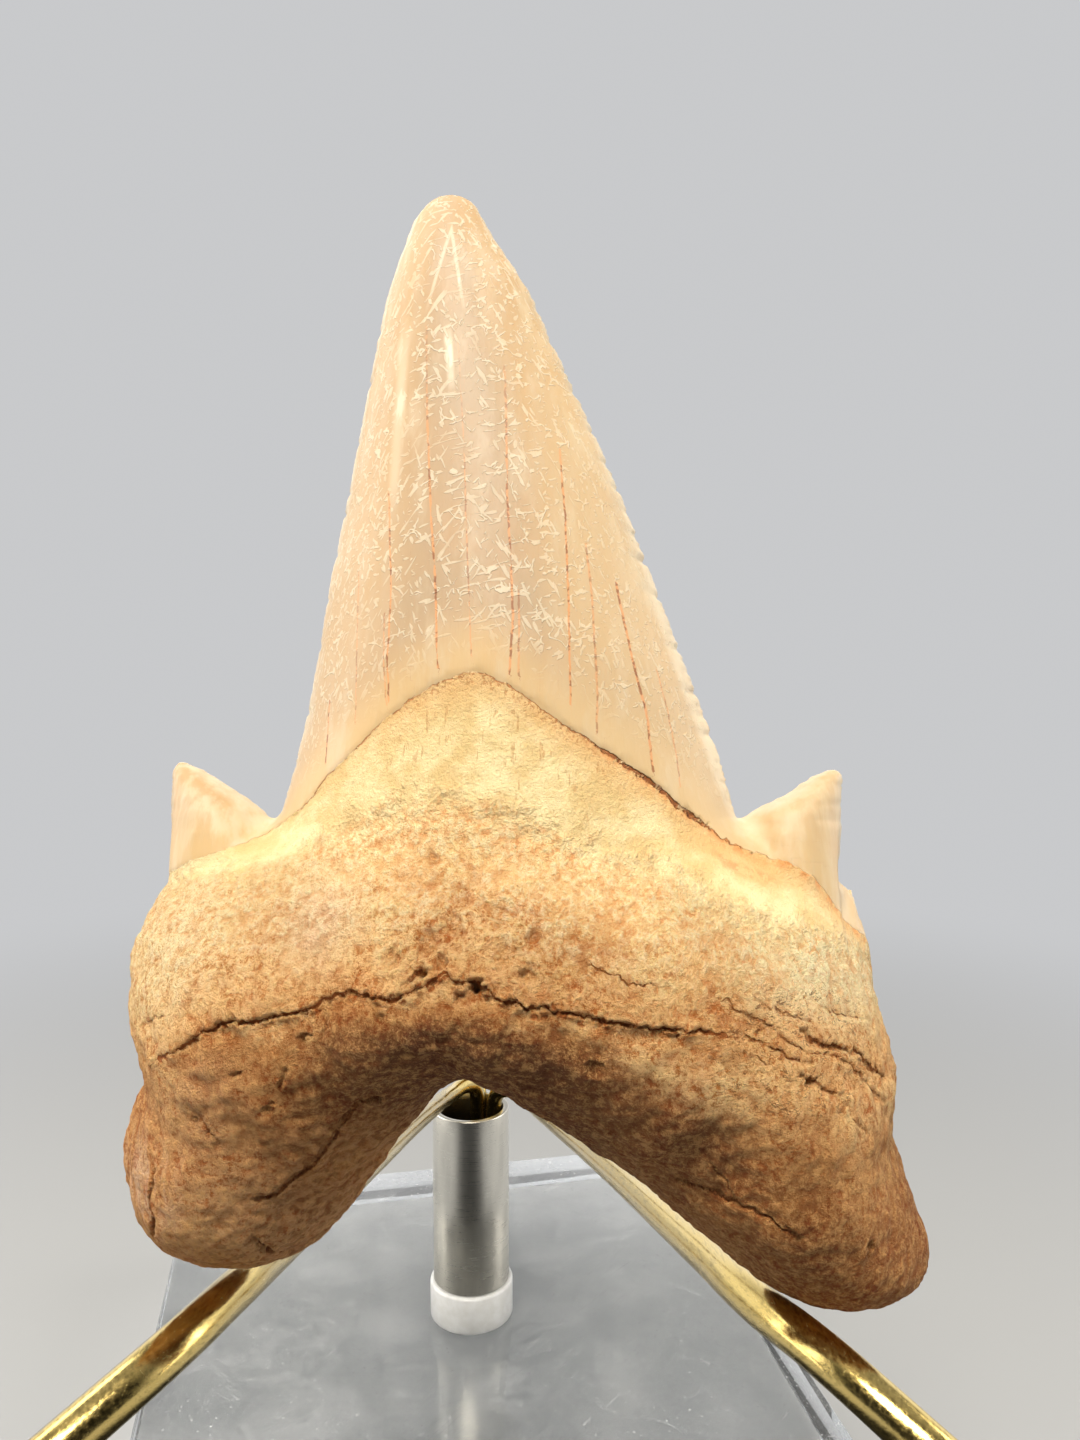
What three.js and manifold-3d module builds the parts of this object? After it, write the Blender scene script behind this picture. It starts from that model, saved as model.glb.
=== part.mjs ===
// Fossil shark tooth standing on a wire-arm display stand.
// Millimetres, +Z up, the tooth's inner face towards -Y.
// Origin: on the axis of the post, at the underside of the base block.
import * as THREE from 'three';
import { mergeVertices } from 'three/addons/utils/BufferGeometryUtils.js';
import Module from 'manifold-3d';

const wasm = await Module();
wasm.setup();

// ---------------------------------------------------------------- driving dimensions
const GAP = 0.3;                       // clearance between pieces that touch

const BASE_SIDE = 101.6;               // square acrylic block
const BASE_HEIGHT = 19.05;
const BASE_EDGE = 0.5;                 // polished edge chamfer
const BASE_TURN = 11.5;                // degrees, block turned under the post
const BASE_SHIFT = -1.2;               // block centre beside the post

const POST_DIAMETER = 12.7;            // round steel tube
const POST_WALL = 0.9;
const POST_TOP = 55.2;                 // height of the rim above the underside of the base

const FOOT_DIAMETER = 13.9;            // translucent plastic ferrule under the tube
const FOOT_HEIGHT = 6.5;
const FOOT_PLUG = 5;                   // plug that the ferrule sends up inside the tube
const FOOT_ROUNDING = 0.3;
const RIM_ROUNDING = 0.2;
const TURNED_SIDES = 32;

const ROD_DIAMETER = 2.5;              // brass rod of the three arms
const ROD_SIDES = 12;
const ROD_STEPS = 26;                  // stretches that each bent rod is drawn in

const TOOTH_SCALE = 0.97;              // real size against the tables below
const TOOTH_PLACE = [9.1, -112.9, 97.4];   // where the tooth's own origin stands
const TOOTH_LEAN = 11;                 // degrees, crown leaning back on its rest
const TOOTH_TURN = 6;                  // degrees, right side nearer the viewer

// Fineness of the blades: rings up the blade, points around a ring.
const CROWN_MESH = [30, 28];
const CUSP_MESH = [10, 14];
const SMALL_CUSP_MESH = [6, 12];
const BLADE_BOW = 1.4;                 // above 1, a ring thins to a sharp edge at each side

const RIM = BASE_HEIGHT + FOOT_HEIGHT + FOOT_PLUG + GAP;   // where the arms stand inside the post

const MERGE_DISTANCE = 1e-4;           // points nearer than this are one point

// ---------------------------------------------------------------- materials
const enamelAndBone = new THREE.MeshStandardMaterial({ color: 0xc89a63, roughness: 0.6, metalness: 0 });
const brass = new THREE.MeshStandardMaterial({ color: 0xb9974c, roughness: 0.3, metalness: 1 });
const steel = new THREE.MeshStandardMaterial({ color: 0xa8a7a2, roughness: 0.35, metalness: 1 });
const ferrulePlastic = new THREE.MeshStandardMaterial({ color: 0xdedcd6, roughness: 0.4, metalness: 0 });
const acrylic = new THREE.MeshStandardMaterial({
  color: 0xe9eeee, roughness: 0.05, metalness: 0, transparent: true, opacity: 0.35,
});

// ---------------------------------------------------------------- shape helpers
// Values on a smooth curve through rows of numbers, t from 0 at the first row to 1 at the last.
function alongRows(rows, t) {
  const place = t * (rows.length - 1);
  const i = Math.min(Math.floor(place), rows.length - 2);
  const f = place - i;
  const row = (k) => rows[THREE.MathUtils.clamp(k, 0, rows.length - 1)];
  return rows[i].map((_, c) => {
    const [a, b, d, e] = [row(i - 1)[c], row(i)[c], row(i + 1)[c], row(i + 2)[c]];
    return b + 0.5 * f * (d - a + f * (2 * a - 5 * b + 4 * d - e + f * (3 * (b - d) + e - a)));
  });
}

// A closed skin over rings of points, drawn together to one point at each end.
function skin(startPoint, rings, endPoint) {
  const around = rings[0].length;
  const points = [startPoint, ...rings.flat(), endPoint];
  const last = points.length - 1;
  const faces = [];
  for (let i = 0; i < around; i++) {
    const next = (i + 1) % around;
    faces.push(0, 1 + next, 1 + i);
    for (let r = 0; r + 1 < rings.length; r++) {
      const low = 1 + r * around;
      const high = low + around;
      faces.push(low + i, low + next, high + next, low + i, high + next, high + i);
    }
    const top = 1 + (rings.length - 1) * around;
    faces.push(top + i, top + next, last);
  }
  const geometry = new THREE.BufferGeometry();
  const places = points.flatMap((p) => p.toArray());
  geometry.setAttribute('position', new THREE.Float32BufferAttribute(places, 3));
  geometry.setIndex(faces);
  return geometry;
}

function toSolid(geometry) {
  const bare = geometry.clone();
  bare.deleteAttribute('normal');
  bare.deleteAttribute('uv');
  const merged = mergeVertices(bare, MERGE_DISTANCE);
  return new wasm.Manifold(new wasm.Mesh({
    numProp: 3,
    vertProperties: Float32Array.from(merged.attributes.position.array),
    triVerts: Uint32Array.from(merged.index.array),
  }));
}

function toGeometry(solid) {
  const { vertProperties, triVerts, numProp } = solid.getMesh();
  const places = [];
  for (let i = 0; i < vertProperties.length; i += numProp) {
    places.push(vertProperties[i], vertProperties[i + 1], vertProperties[i + 2]);
  }
  const geometry = new THREE.BufferGeometry();
  geometry.setAttribute('position', new THREE.Float32BufferAttribute(places, 3));
  geometry.setIndex(new THREE.BufferAttribute(Uint32Array.from(triVerts), 1));
  geometry.computeVertexNormals();
  return geometry;
}

// ---------------------------------------------------------------- the tooth
// The tooth's own frame: X across, Z up the crown, -Y out of its bulging inner face.

// A blade of lens-shaped rings, one above the other: the crown or a side cusp.
// Row: height, left edge, right edge, depth in front, depth behind, drop of the ring's edges.
function blade(rows, tip, [levels, around]) {
  const rings = [];
  for (let level = 0; level < levels; level++) {
    const [height, left, right, front, behind, drop] = alongRows(rows, level / (levels - 1));
    const ring = [];
    for (let i = 0; i < around; i++) {
      const turn = (i / around) * 2 * Math.PI;
      const across = -Math.cos(turn);
      const bow = Math.abs(Math.sin(turn)) ** BLADE_BOW;
      ring.push(new THREE.Vector3(
        (left + right) / 2 + across * (right - left) / 2,
        Math.sin(turn) > 0 ? -front * bow : behind * bow,
        height - drop * across * across,
      ));
    }
    rings.push(ring);
  }
  const [height, left, right] = rows[0];
  const foot = new THREE.Vector3((left + right) / 2, 0, height);
  return toSolid(skin(foot, rings, new THREE.Vector3(tip[0], 0, tip[1])));
}

const CROWN = [
  [17, -14.6, 14.2, 7.5, 4.0, 4.5],
  [21, -15.4, 15.0, 8.6, 4.4, 3.6],
  [26, -15.4, 14.9, 8.8, 4.2, 1.6],
  [31, -14.0, 13.3, 8.3, 3.7, 0.4],
  [36.6, -13.0, 11.1, 7.7, 3.2, 0],
  [41.6, -12.4, 9.2, 7.0, 2.7, 0],
  [47, -11.5, 7.2, 6.1, 2.3, 0],
  [51, -10.9, 5.5, 5.4, 2.0, 0],
  [55, -10.3, 3.7, 4.7, 1.8, 0],
  [59, -9.7, 1.9, 4.0, 1.5, 0],
  [62.3, -9.1, 0.4, 3.3, 1.3, 0],
  [65.2, -8.2, -1.5, 2.5, 1.1, 0],
  [67.1, -7.6, -2.6, 1.8, 0.9, 0],
  [68.5, -6.6, -3.4, 1.1, 0.6, 0],
];
const CROWN_TIP = [-4.9, 69.2];        // x, height; the cusps' tips too
const LEFT_CUSP_TIP = [-22.5, 29.7];
const RIGHT_CUSP_TIP = [20.9, 29.8];
const SECOND_RIGHT_CUSP_TIP = [21.9, 22.3];

const LEFT_CUSP = [
  [17, -22.4, -13.5, 4.2, 2.4, 0],
  [22, -22.8, -13.8, 3.9, 2.2, 0],
  [25.7, -22.8, -15.6, 3.1, 1.8, 0],
  [27.6, -22.7, -18.2, 2.2, 1.3, 0],
  [29, -22.7, -20.6, 1.2, 0.7, 0],
];
const RIGHT_CUSP = [
  [17, 13, 22.3, 4.2, 2.4, 0],
  [22, 13.5, 21.6, 4.0, 2.2, 0],
  [26.2, 14.8, 21.2, 3.2, 1.8, 0],
  [27.8, 17.4, 21.1, 2.3, 1.3, 0],
  [29.2, 19.4, 21.3, 1.1, 0.7, 0],
];
const SECOND_RIGHT_CUSP = [
  [15, 19, 22.9, 2.2, 1.4, 0],
  [18.5, 19.6, 22.8, 1.8, 1.1, 0],
  [21, 20.7, 22.4, 0.9, 0.6, 0],
];

// The two-lobed root: sections that fan across it from the arch between the lobes to its outer
// edge, listed from the left lobe's end to the right lobe's end.
// Row: arch side x, z, outer side x, z, depth in front, depth behind, where the front bulges most.
const ROOT = [
  [-14.9, -2.0, -18.3, -1.8, 1.6, 1.5, 0.5],
  [-13.3, -1.7, -20.8, -1.1, 3.1, 2.6, 0.5],
  [-11.7, -0.8, -22.5, 0.1, 4.5, 3.4, 0.5],
  [-10.1, 0.9, -23.7, 2.2, 6.0, 3.9, 0.5],
  [-8.6, 2.9, -24.2, 5.4, 7.2, 4.0, 0.48],
  [-7.0, 5.0, -23.4, 9.5, 8.6, 4.0, 0.46],
  [-5.5, 7.0, -24.2, 13.2, 10.0, 4.0, 0.44],
  [-4.2, 8.6, -24.3, 17.4, 10.8, 3.9, 0.4],
  [-3.1, 9.8, -22.4, 21.9, 11.4, 3.8, 0.36],
  [-2.2, 10.4, -14.2, 26.0, 11.9, 3.8, 0.33],
  [-1.3, 10.5, -2.0, 29.5, 12.3, 3.8, 0.32],
  [-0.3, 10.1, 8.0, 28.0, 12.2, 3.8, 0.33],
  [1.3, 9.1, 15.0, 26.0, 11.8, 3.8, 0.36],
  [3.4, 7.8, 21.0, 21.8, 11.2, 3.9, 0.4],
  [5.8, 6.3, 22.8, 16.4, 10.4, 4.0, 0.44],
  [8.3, 4.6, 23.9, 11.6, 9.2, 4.0, 0.48],
  [10.8, 2.5, 23.9, 7.2, 7.8, 4.0, 0.5],
  [13.4, 0.7, 25.0, 3.8, 6.6, 3.8, 0.52],
  [15.8, -1.1, 25.8, 1.1, 5.1, 3.5, 0.52],
  [17.5, -1.75, 25.4, -0.7, 3.6, 2.8, 0.5],
  [19.6, -1.85, 23.9, -1.6, 2.0, 1.7, 0.5],
];
const ROOT_STATIONS = 54;
const ROOT_AROUND = 30;
const ROOT_FRONT_BOW = 0.62;           // under 1, a section is fuller than a plain half oval
const ROOT_BACK_BOW = 0.75;
const ROOT_END_DROP = 0.2;             // how far each lobe's last point lies below its end section

// Lumps (+) and hollows (-) on the front of the root: x, z, reach, height.
const ROOT_RELIEF = [
  [-18, 14, 5, 0.7],
  [-9, 19, 4, -0.5],
  [-1, 15.5, 4, 0.6],
  [-19, 3, 4, 0.7],
  [-13, 8, 3.5, -0.4],
  [12.5, 8.5, 3, -1.1],
  [22, 6, 2.8, 0.9],
  [18, 12, 4, 0.5],
  [9, 17, 4.5, 0.4],
  [17.5, 2, 3, 0.5],
  [-6.2, 13, 2.2, 0.5],
  [-3.8, 19.5, 1.8, -0.5],
];

function root() {
  const rings = [];
  for (let station = 0; station < ROOT_STATIONS; station++) {
    const [ax, az, ox, oz, front, behind, bulge] = alongRows(ROOT, station / (ROOT_STATIONS - 1));
    const lift = Math.log(0.5) / Math.log(bulge);
    const ring = [];
    for (let i = 0; i < ROOT_AROUND; i++) {
      const turn = (i / ROOT_AROUND) * 2 * Math.PI;
      const across = (1 - Math.cos(turn)) / 2;
      const inFront = Math.sin(turn) < 0;
      const x = ax + (ox - ax) * across;
      const z = az + (oz - az) * across;
      let y = behind * Math.abs(Math.sin(turn)) ** ROOT_BACK_BOW;
      if (inFront) {
        const swell = Math.max(Math.sin(Math.PI * across ** lift), 0) ** ROOT_FRONT_BOW;
        const relief = ROOT_RELIEF.reduce(
          (sum, [cx, cz, reach, height]) => sum
            + height * Math.exp(-((x - cx) ** 2 + (z - cz) ** 2) / reach ** 2), 0);
        y = -swell * (front + relief);
      }
      ring.push(new THREE.Vector3(x, y, z));
    }
    rings.push(ring);
  }
  const end = ([ax, az, ox, oz]) => new THREE.Vector3((ax + ox) / 2, 0, (az + oz) / 2 - ROOT_END_DROP);
  return toSolid(skin(end(ROOT[0]), rings, end(ROOT[ROOT.length - 1])));
}

function toothGeometry() {
  const pieces = [
    blade(CROWN, CROWN_TIP, CROWN_MESH),
    blade(LEFT_CUSP, LEFT_CUSP_TIP, CUSP_MESH),
    blade(RIGHT_CUSP, RIGHT_CUSP_TIP, CUSP_MESH),
    blade(SECOND_RIGHT_CUSP, SECOND_RIGHT_CUSP_TIP, SMALL_CUSP_MESH),
  ];
  return toGeometry(pieces.reduce((whole, piece) => whole.add(piece), root()));
}

// ---------------------------------------------------------------- the stand
function baseGeometry() {
  const half = BASE_SIDE / 2 - BASE_EDGE;
  const outline = new THREE.Shape([
    new THREE.Vector2(-half, -half), new THREE.Vector2(half, -half),
    new THREE.Vector2(half, half), new THREE.Vector2(-half, half),
  ]);
  const block = new THREE.ExtrudeGeometry(outline, {
    depth: BASE_HEIGHT - 2 * BASE_EDGE,
    bevelThickness: BASE_EDGE,
    bevelSize: BASE_EDGE,
    bevelSegments: 1,
  });
  block.translate(BASE_SHIFT, 0, BASE_EDGE);
  return block;
}

// A turned piece from its half outline: radius, height.
function turned(outline) {
  const profile = outline.map(([r, z]) => new THREE.Vector2(r, z));
  const lathe = new THREE.LatheGeometry(profile, TURNED_SIDES);
  lathe.rotateX(Math.PI / 2);
  return lathe;
}

function footGeometry() {
  const low = BASE_HEIGHT + GAP;
  const shoulder = BASE_HEIGHT + FOOT_HEIGHT;
  const outer = FOOT_DIAMETER / 2;
  const plug = POST_DIAMETER / 2 - POST_WALL - GAP;
  return turned([
    [0, low], [outer - FOOT_ROUNDING, low], [outer, low + FOOT_ROUNDING],
    [outer, shoulder - FOOT_ROUNDING], [outer - FOOT_ROUNDING, shoulder],
    [plug, shoulder], [plug, shoulder + FOOT_PLUG], [0, shoulder + FOOT_PLUG],
  ]);
}

function postGeometry() {
  const outer = POST_DIAMETER / 2;
  const inner = outer - POST_WALL;
  const low = BASE_HEIGHT + FOOT_HEIGHT + GAP;
  return turned([
    [inner, low], [outer, low], [outer, POST_TOP - RIM_ROUNDING], [outer - RIM_ROUNDING, POST_TOP],
    [inner + RIM_ROUNDING, POST_TOP], [inner, POST_TOP - RIM_ROUNDING], [inner, low],
  ]);
}

// Routes of the arms: each stands in the post, bends over its rim and runs to the tooth.
const LEFT_ARM = [
  [1.1, 0.9, RIM], [1.1, 0.9, 46], [1.1, 0.8, 54.4], [0.8, -0.4, 58.4], [-0.6, -3.6, 60.2],
  [-2.4, -9, 61.2], [-4, -24, 65.5], [-5.6, -68, 79.7], [-6.7, -106, 92],
  [-7, -113, 94.2], [-8.3, -119.6, 95.3], [-11.6, -124.6, 94.2], [-16, -128.6, 91.8],
];
const RIGHT_ARM = [
  [3.8, 0.1, RIM], [3.8, 0.1, 46], [3.8, 0, 54.2], [4.5, -1.2, 57.8], [6.3, -4, 59.7],
  [8.3, -11, 62.1], [12.2, -36, 70.3], [18.4, -77, 83.6], [22.9, -105.3, 92.0],
  [24.65, -114.4, 94.35], [26.85, -119.6, 95.05], [30.6, -124, 93.6], [35.4, -126.8, 90.4],
];
const BACK_ARM = [
  [1.2, 3.7, RIM], [1.2, 3.7, 46], [1.2, 3.65, 57], [1.25, 2.2, 62], [1.4, -2, 65.8],
  [1.8, -10, 71.2], [2.6, -26, 82.4], [4.4, -57, 105.6], [6.2, -86, 127.9], [7.1, -95.8, 135.2],
  [7.6, -99.1, 139.2], [8.1, -99.9, 143.6], [8.6, -99.6, 148],
];

function armGeometry(route) {
  const path = new THREE.CatmullRomCurve3(route.map((p) => new THREE.Vector3(...p)), false, 'centripetal');
  const section = new THREE.Shape();
  section.absarc(0, 0, ROD_DIAMETER / 2, 0, 2 * Math.PI);
  return new THREE.ExtrudeGeometry(section, {
    extrudePath: path, steps: ROD_STEPS, curveSegments: ROD_SIDES / 2, bevelEnabled: false,
  });
}

// ---------------------------------------------------------------- assembly
function piece(name, geometry, material) {
  const mesh = new THREE.Mesh(geometry, material);
  mesh.name = name;
  return mesh;
}

const group = new THREE.Group();

const block = piece('base_block', baseGeometry(), acrylic);
const turnedBase = new THREE.Group();
turnedBase.rotation.z = THREE.MathUtils.degToRad(BASE_TURN);
turnedBase.add(block);
group.add(turnedBase);

group.add(piece('post_ferrule', footGeometry(), ferrulePlastic));
group.add(piece('post_tube', postGeometry(), steel));
group.add(piece('left_arm', armGeometry(LEFT_ARM), brass));
group.add(piece('right_arm', armGeometry(RIGHT_ARM), brass));
group.add(piece('back_arm', armGeometry(BACK_ARM), brass));

const tooth = piece('shark_tooth', toothGeometry(), enamelAndBone);
tooth.rotation.order = 'ZXY';
tooth.rotation.set(
  THREE.MathUtils.degToRad(-TOOTH_LEAN), 0, THREE.MathUtils.degToRad(-TOOTH_TURN));
tooth.position.set(...TOOTH_PLACE);
tooth.scale.setScalar(TOOTH_SCALE);
group.add(tooth);

export default group;
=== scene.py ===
"""A fossil shark tooth on its stand: fine surfaces, finishes and a small studio."""

import math
from contextlib import contextmanager
from types import SimpleNamespace

import bmesh
import bpy
import numpy as np
from mathutils import Euler, Matrix, Vector, noise
from mathutils.kdtree import KDTree


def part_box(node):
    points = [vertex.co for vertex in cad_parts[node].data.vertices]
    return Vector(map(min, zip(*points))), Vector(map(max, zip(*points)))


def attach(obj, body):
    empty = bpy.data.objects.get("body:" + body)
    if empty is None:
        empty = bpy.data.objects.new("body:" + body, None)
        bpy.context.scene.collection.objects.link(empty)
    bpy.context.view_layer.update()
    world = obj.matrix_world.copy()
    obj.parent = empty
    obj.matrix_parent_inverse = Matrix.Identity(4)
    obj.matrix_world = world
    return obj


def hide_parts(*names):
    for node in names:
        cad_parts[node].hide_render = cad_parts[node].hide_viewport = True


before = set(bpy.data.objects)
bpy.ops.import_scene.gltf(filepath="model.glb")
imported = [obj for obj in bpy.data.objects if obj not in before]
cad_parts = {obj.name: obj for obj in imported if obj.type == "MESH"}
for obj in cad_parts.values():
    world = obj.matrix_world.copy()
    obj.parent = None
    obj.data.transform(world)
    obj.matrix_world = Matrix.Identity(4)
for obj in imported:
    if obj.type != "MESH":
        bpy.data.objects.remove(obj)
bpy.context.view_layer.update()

bl_info = {
    "name": "Fossil shark tooth on a stand",
    "version": (1, 0, 0),
    "blender": (4, 5, 0),
    "location": "View3D > Sidebar > Fossil",
    "description": "Builds a fossil shark tooth, its brass-armed stand and a studio",
    "category": "Object",
}

MM = 0.001
BODY = "root"
SAME_POINT = 1e-6       # points nearer than this, in metres, are merged
FAR = 1e9

# The tooth's own frame, in millimetres: X across, Z up the crown, -Y out of the bulging inner face.
TOOTH_PLACE = (9.1, -112.9, 97.4)
TOOTH_LEAN = math.radians(11)
TOOTH_TURN = math.radians(6)
TOOTH_SCALE = 0.97

# Lines on the inner face, as x, z in the tooth's frame.
ENAMEL_EDGE = [
    (-26, 21), (-20.9, 22.5), (-18.7, 23.4), (-16.8, 24.1), (-14.6, 25.3), (-12.5, 26.4), (-10.6, 28.4),
    (-8.5, 30.1), (-6.4, 32), (-3.5, 33.8), (-2.1, 34.3), (-0.8, 34.5), (1.3, 33.5), (4.1, 31.5),
    (5.9, 30.4), (8.1, 29), (9.4, 28.2), (11.1, 26.7), (12.5, 25.9), (13.4, 25.1), (15.2, 24.3),
    (17.4, 23.8), (18.9, 22.9), (20.4, 21), (23, 19),
]
BAND_EDGE = [
    (-26, 21.5), (-15, 22.2), (-10, 25), (-7.1, 26.1), (-3.7, 26.8), (-2.2, 27.1), (-0.3, 26.7),
    (3.3, 25.4), (6.9, 23.9), (9.7, 23.1), (15, 20.5), (26, 18),
]
MAIN_CRACK = [
    (-19.6, 11.3), (-18.8, 11.9), (-17.1, 12.7), (-15.5, 13.8), (-14.2, 14.4), (-12, 14.7), (-10.4, 15.1),
    (-9, 15.4), (-8.4, 16), (-6.8, 16.5), (-5.7, 16.3), (-4.4, 16.1), (-3.8, 16.5), (-2.6, 17),
    (-1.7, 17.7), (-0.7, 17.2), (0.1, 17.4), (1.1, 16.6), (2.6, 16.2), (5, 15.8), (7.2, 15.4), (10, 15.1),
    (12.4, 14.9), (13.9, 14.7), (22, 12.5),
]
# Fine cracks in the root, in sets whose lines stay apart: half width, depth, then the line.
ROOT_CRACKS = [
    [
        (0.09, 0.3, [(-5.8, 10.1), (-7, 10), (-7.6, 9.2), (-8.3, 8.3), (-8.7, 7.6), (-9.6, 6.5),
         (-10, 5.9), (-11.4, 4.9), (-12.2, 4.1), (-13.4, 3.8)]),
        (0.09, 0.3, [(17.4, 14.9), (18.2, 14.2), (20.3, 13.5), (21, 13.2), (21.6, 12.5), (22.7, 11.5)]),
        (0.08, 0.2, [(10.9, 6.1), (12.9, 5.7), (14.2, 5.3), (15.7, 4.7), (17.2, 4), (17.4, 3.8)]),
        (0.07, 0.15, [(13.5, 15), (14.2, 14.8), (16, 13.9), (17, 13.4), (17.8, 13.2)]),
        (0.08, 0.2, [(-13.9, 1.4), (-13.7, 0.7), (-13.3, -0.2), (-12.6, -0.9)]),
        (0.08, 0.2, [(-10.5, 12), (-10.9, 11)]),
        (0.12, 0.25, [(-3.8, 16.8), (-3.2, 17.6), (-2.4, 17.8)]),
        (0.05, 0.1, [(5.5, 18.5), (8.2, 17.4), (10.2, 17.2)]),
    ],
    [
        (0.06, 0.15, [(12.6, 16.9), (13.7, 16.2), (15.5, 15.2), (16.6, 14.4), (17.6, 13.8), (18.7, 13.5)]),
        (0.07, 0.2, [(17.3, 12.7), (18.1, 12.1), (19.3, 11.5), (20, 10.9)]),
        (0.05, 0.1, [(11.9, 13.8), (12.7, 13.5), (13.2, 13)]),
        (0.1, 0.3, [(-19.4, 5.2), (-19.9, 3.4), (-19.8, 2.1), (-20.3, 0.7)]),
        (0.07, 0.15, [(-8.3, 15.3), (-8.1, 14.5), (-8.4, 13.9)]),
        (0.05, 0.1, [(18.6, 15.9), (20.2, 15.3), (21.6, 14.9)]),
        (0.05, 0.12, [(12.4, 7.9), (13.4, 6.4), (14, 5.6)]),
    ],
    [
        (0.06, 0.15, [(18.8, 13.6), (20.2, 12.8), (21.8, 11.2), (22.6, 10.2)]),
        (0.05, 0.12, [(14.2, 14), (15.5, 13.3), (16.4, 12.4)]),
        (0.05, 0.12, [(14.9, 16.6), (16.4, 15.8), (18, 15.3)]),
        (0.05, 0.12, [(19.6, 10.4), (20.6, 9.8), (21.2, 9)]),
        (0.05, 0.1, [(-20.8, 13.4), (-19.2, 14.2), (-17.9, 14.4)]),
        (0.05, 0.1, [(-15.8, 8.8), (-14.9, 7.4)]),
    ],
]
# Drying cracks up the crown, in sets whose lines stay apart: half width, then the line.
CROWN_CRACKS = [
    [
        (0.075, [(-5.6, 58.4), (-5.1, 51.6), (-4.4, 44.9), (-3.8, 40.1), (-3.3, 34.1)]),
        (0.075, [(-0.4, 55.4), (-0.1, 52), (0.3, 45.6), (0.7, 41.6), (1, 37.8), (0.9, 33.8)]),
        (0.065, [(-7.5, 47), (-7.3, 45.3), (-6.7, 39.6), (-6.7, 35.7), (-6.4, 32.2)]),
        (0.06, [(3.2, 50), (3.3, 48.9), (3.8, 44.4), (4.2, 38.8), (4.5, 32.1)]),
        (0.075, [(6.8, 41.4), (7, 40.3), (8, 35.7), (8.9, 32.4), (9.2, 29.7), (9.4, 28.3)]),
        (0.06, [(-11, 33.9), (-10.8, 28.5)]),
    ],
    [
        (0.05, [(-3.4, 57), (-2.5, 48.8), (-2.1, 44), (-1.6, 38.5), (-1.3, 34.8)]),
        (0.065, [(1.2, 40.2), (1.3, 38.9), (1.5, 33.6)]),
        (0.05, [(-7, 39), (-7.1, 38.1), (-6.9, 35), (-6.5, 32)]),
        (0.065, [(4.9, 43.6), (5.1, 42.6), (5.5, 39.7), (6, 33.6), (6, 30.5)]),
        (0.045, [(-9.3, 42), (-9, 36.5), (-8.7, 31)]),
        (0.045, [(9.3, 36), (10.1, 33), (10.7, 30), (11, 27.5)]),
    ],
]
# Pits in the root: x, z, reach, depth.
PITS = [
    (0.1, 17.3, 0.45, 0.9), (-3, 17.6, 0.35, 0.6), (0.35, 16.9, 0.3, 0.5), (17.9, 12.3, 0.35, 0.5),
    (-1.5, 20.2, 0.9, 0.5), (-2.7, 19.1, 0.8, 0.5), (-1.9, 18.3, 0.5, 0.5), (-1.1, 21.6, 0.8, 0.3),
    (1.6, 18.7, 0.8, 0.35), (3.1, 19.6, 0.6, 0.35), (2.7, 17.7, 0.5, 0.35), (-4.6, 18.3, 0.6, 0.4),
    (-9.5, 13.7, 0.4, 0.35), (-13.4, 11.6, 0.3, 0.25), (15.1, 14.9, 0.25, 0.2), (0.9, 20.9, 0.6, 0.3),
    (3.4, 8.6, 0.35, 0.25), (-11.7, 9.7, 0.3, 0.25), (21.3, 3, 0.35, 0.25), (-16.4, 8.6, 0.3, 0.2),
    (-0.9, 16.6, 0.35, 0.4), (-5.2, 15.2, 0.5, 0.25), (6.4, 12.9, 0.6, 0.25), (-3.1, 23.6, 0.6, 0.25),
]
# Chips out of the crown's cutting edges: side, height, reach, depth.
EDGE_CHIPS = [
    (1, 62.5, 0.5, 0.5), (1, 60.4, 0.35, 0.3), (1, 58.3, 0.5, 0.45), (1, 56.1, 0.3, 0.25),
    (1, 54.6, 0.6, 0.4), (1, 51.8, 0.3, 0.3), (1, 49.6, 0.45, 0.35), (1, 47.9, 0.3, 0.25),
    (1, 44.7, 0.4, 0.3), (1, 42.9, 0.3, 0.4), (1, 40.6, 0.35, 0.3), (1, 37.2, 0.4, 0.25),
    (1, 34.4, 0.3, 0.25), (1, 31.6, 0.35, 0.25), (1, 28.6, 0.3, 0.25), (-1, 59.2, 0.4, 0.2),
    (-1, 55.4, 0.5, 0.25), (-1, 51.2, 0.35, 0.25), (-1, 47.7, 0.4, 0.3), (-1, 46.3, 0.3, 0.25),
    (-1, 43.5, 0.4, 0.3), (-1, 40.4, 0.3, 0.25), (-1, 37.3, 0.4, 0.25), (-1, 33, 0.35, 0.25),
    (-1, 29.4, 0.3, 0.2),
]

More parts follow.
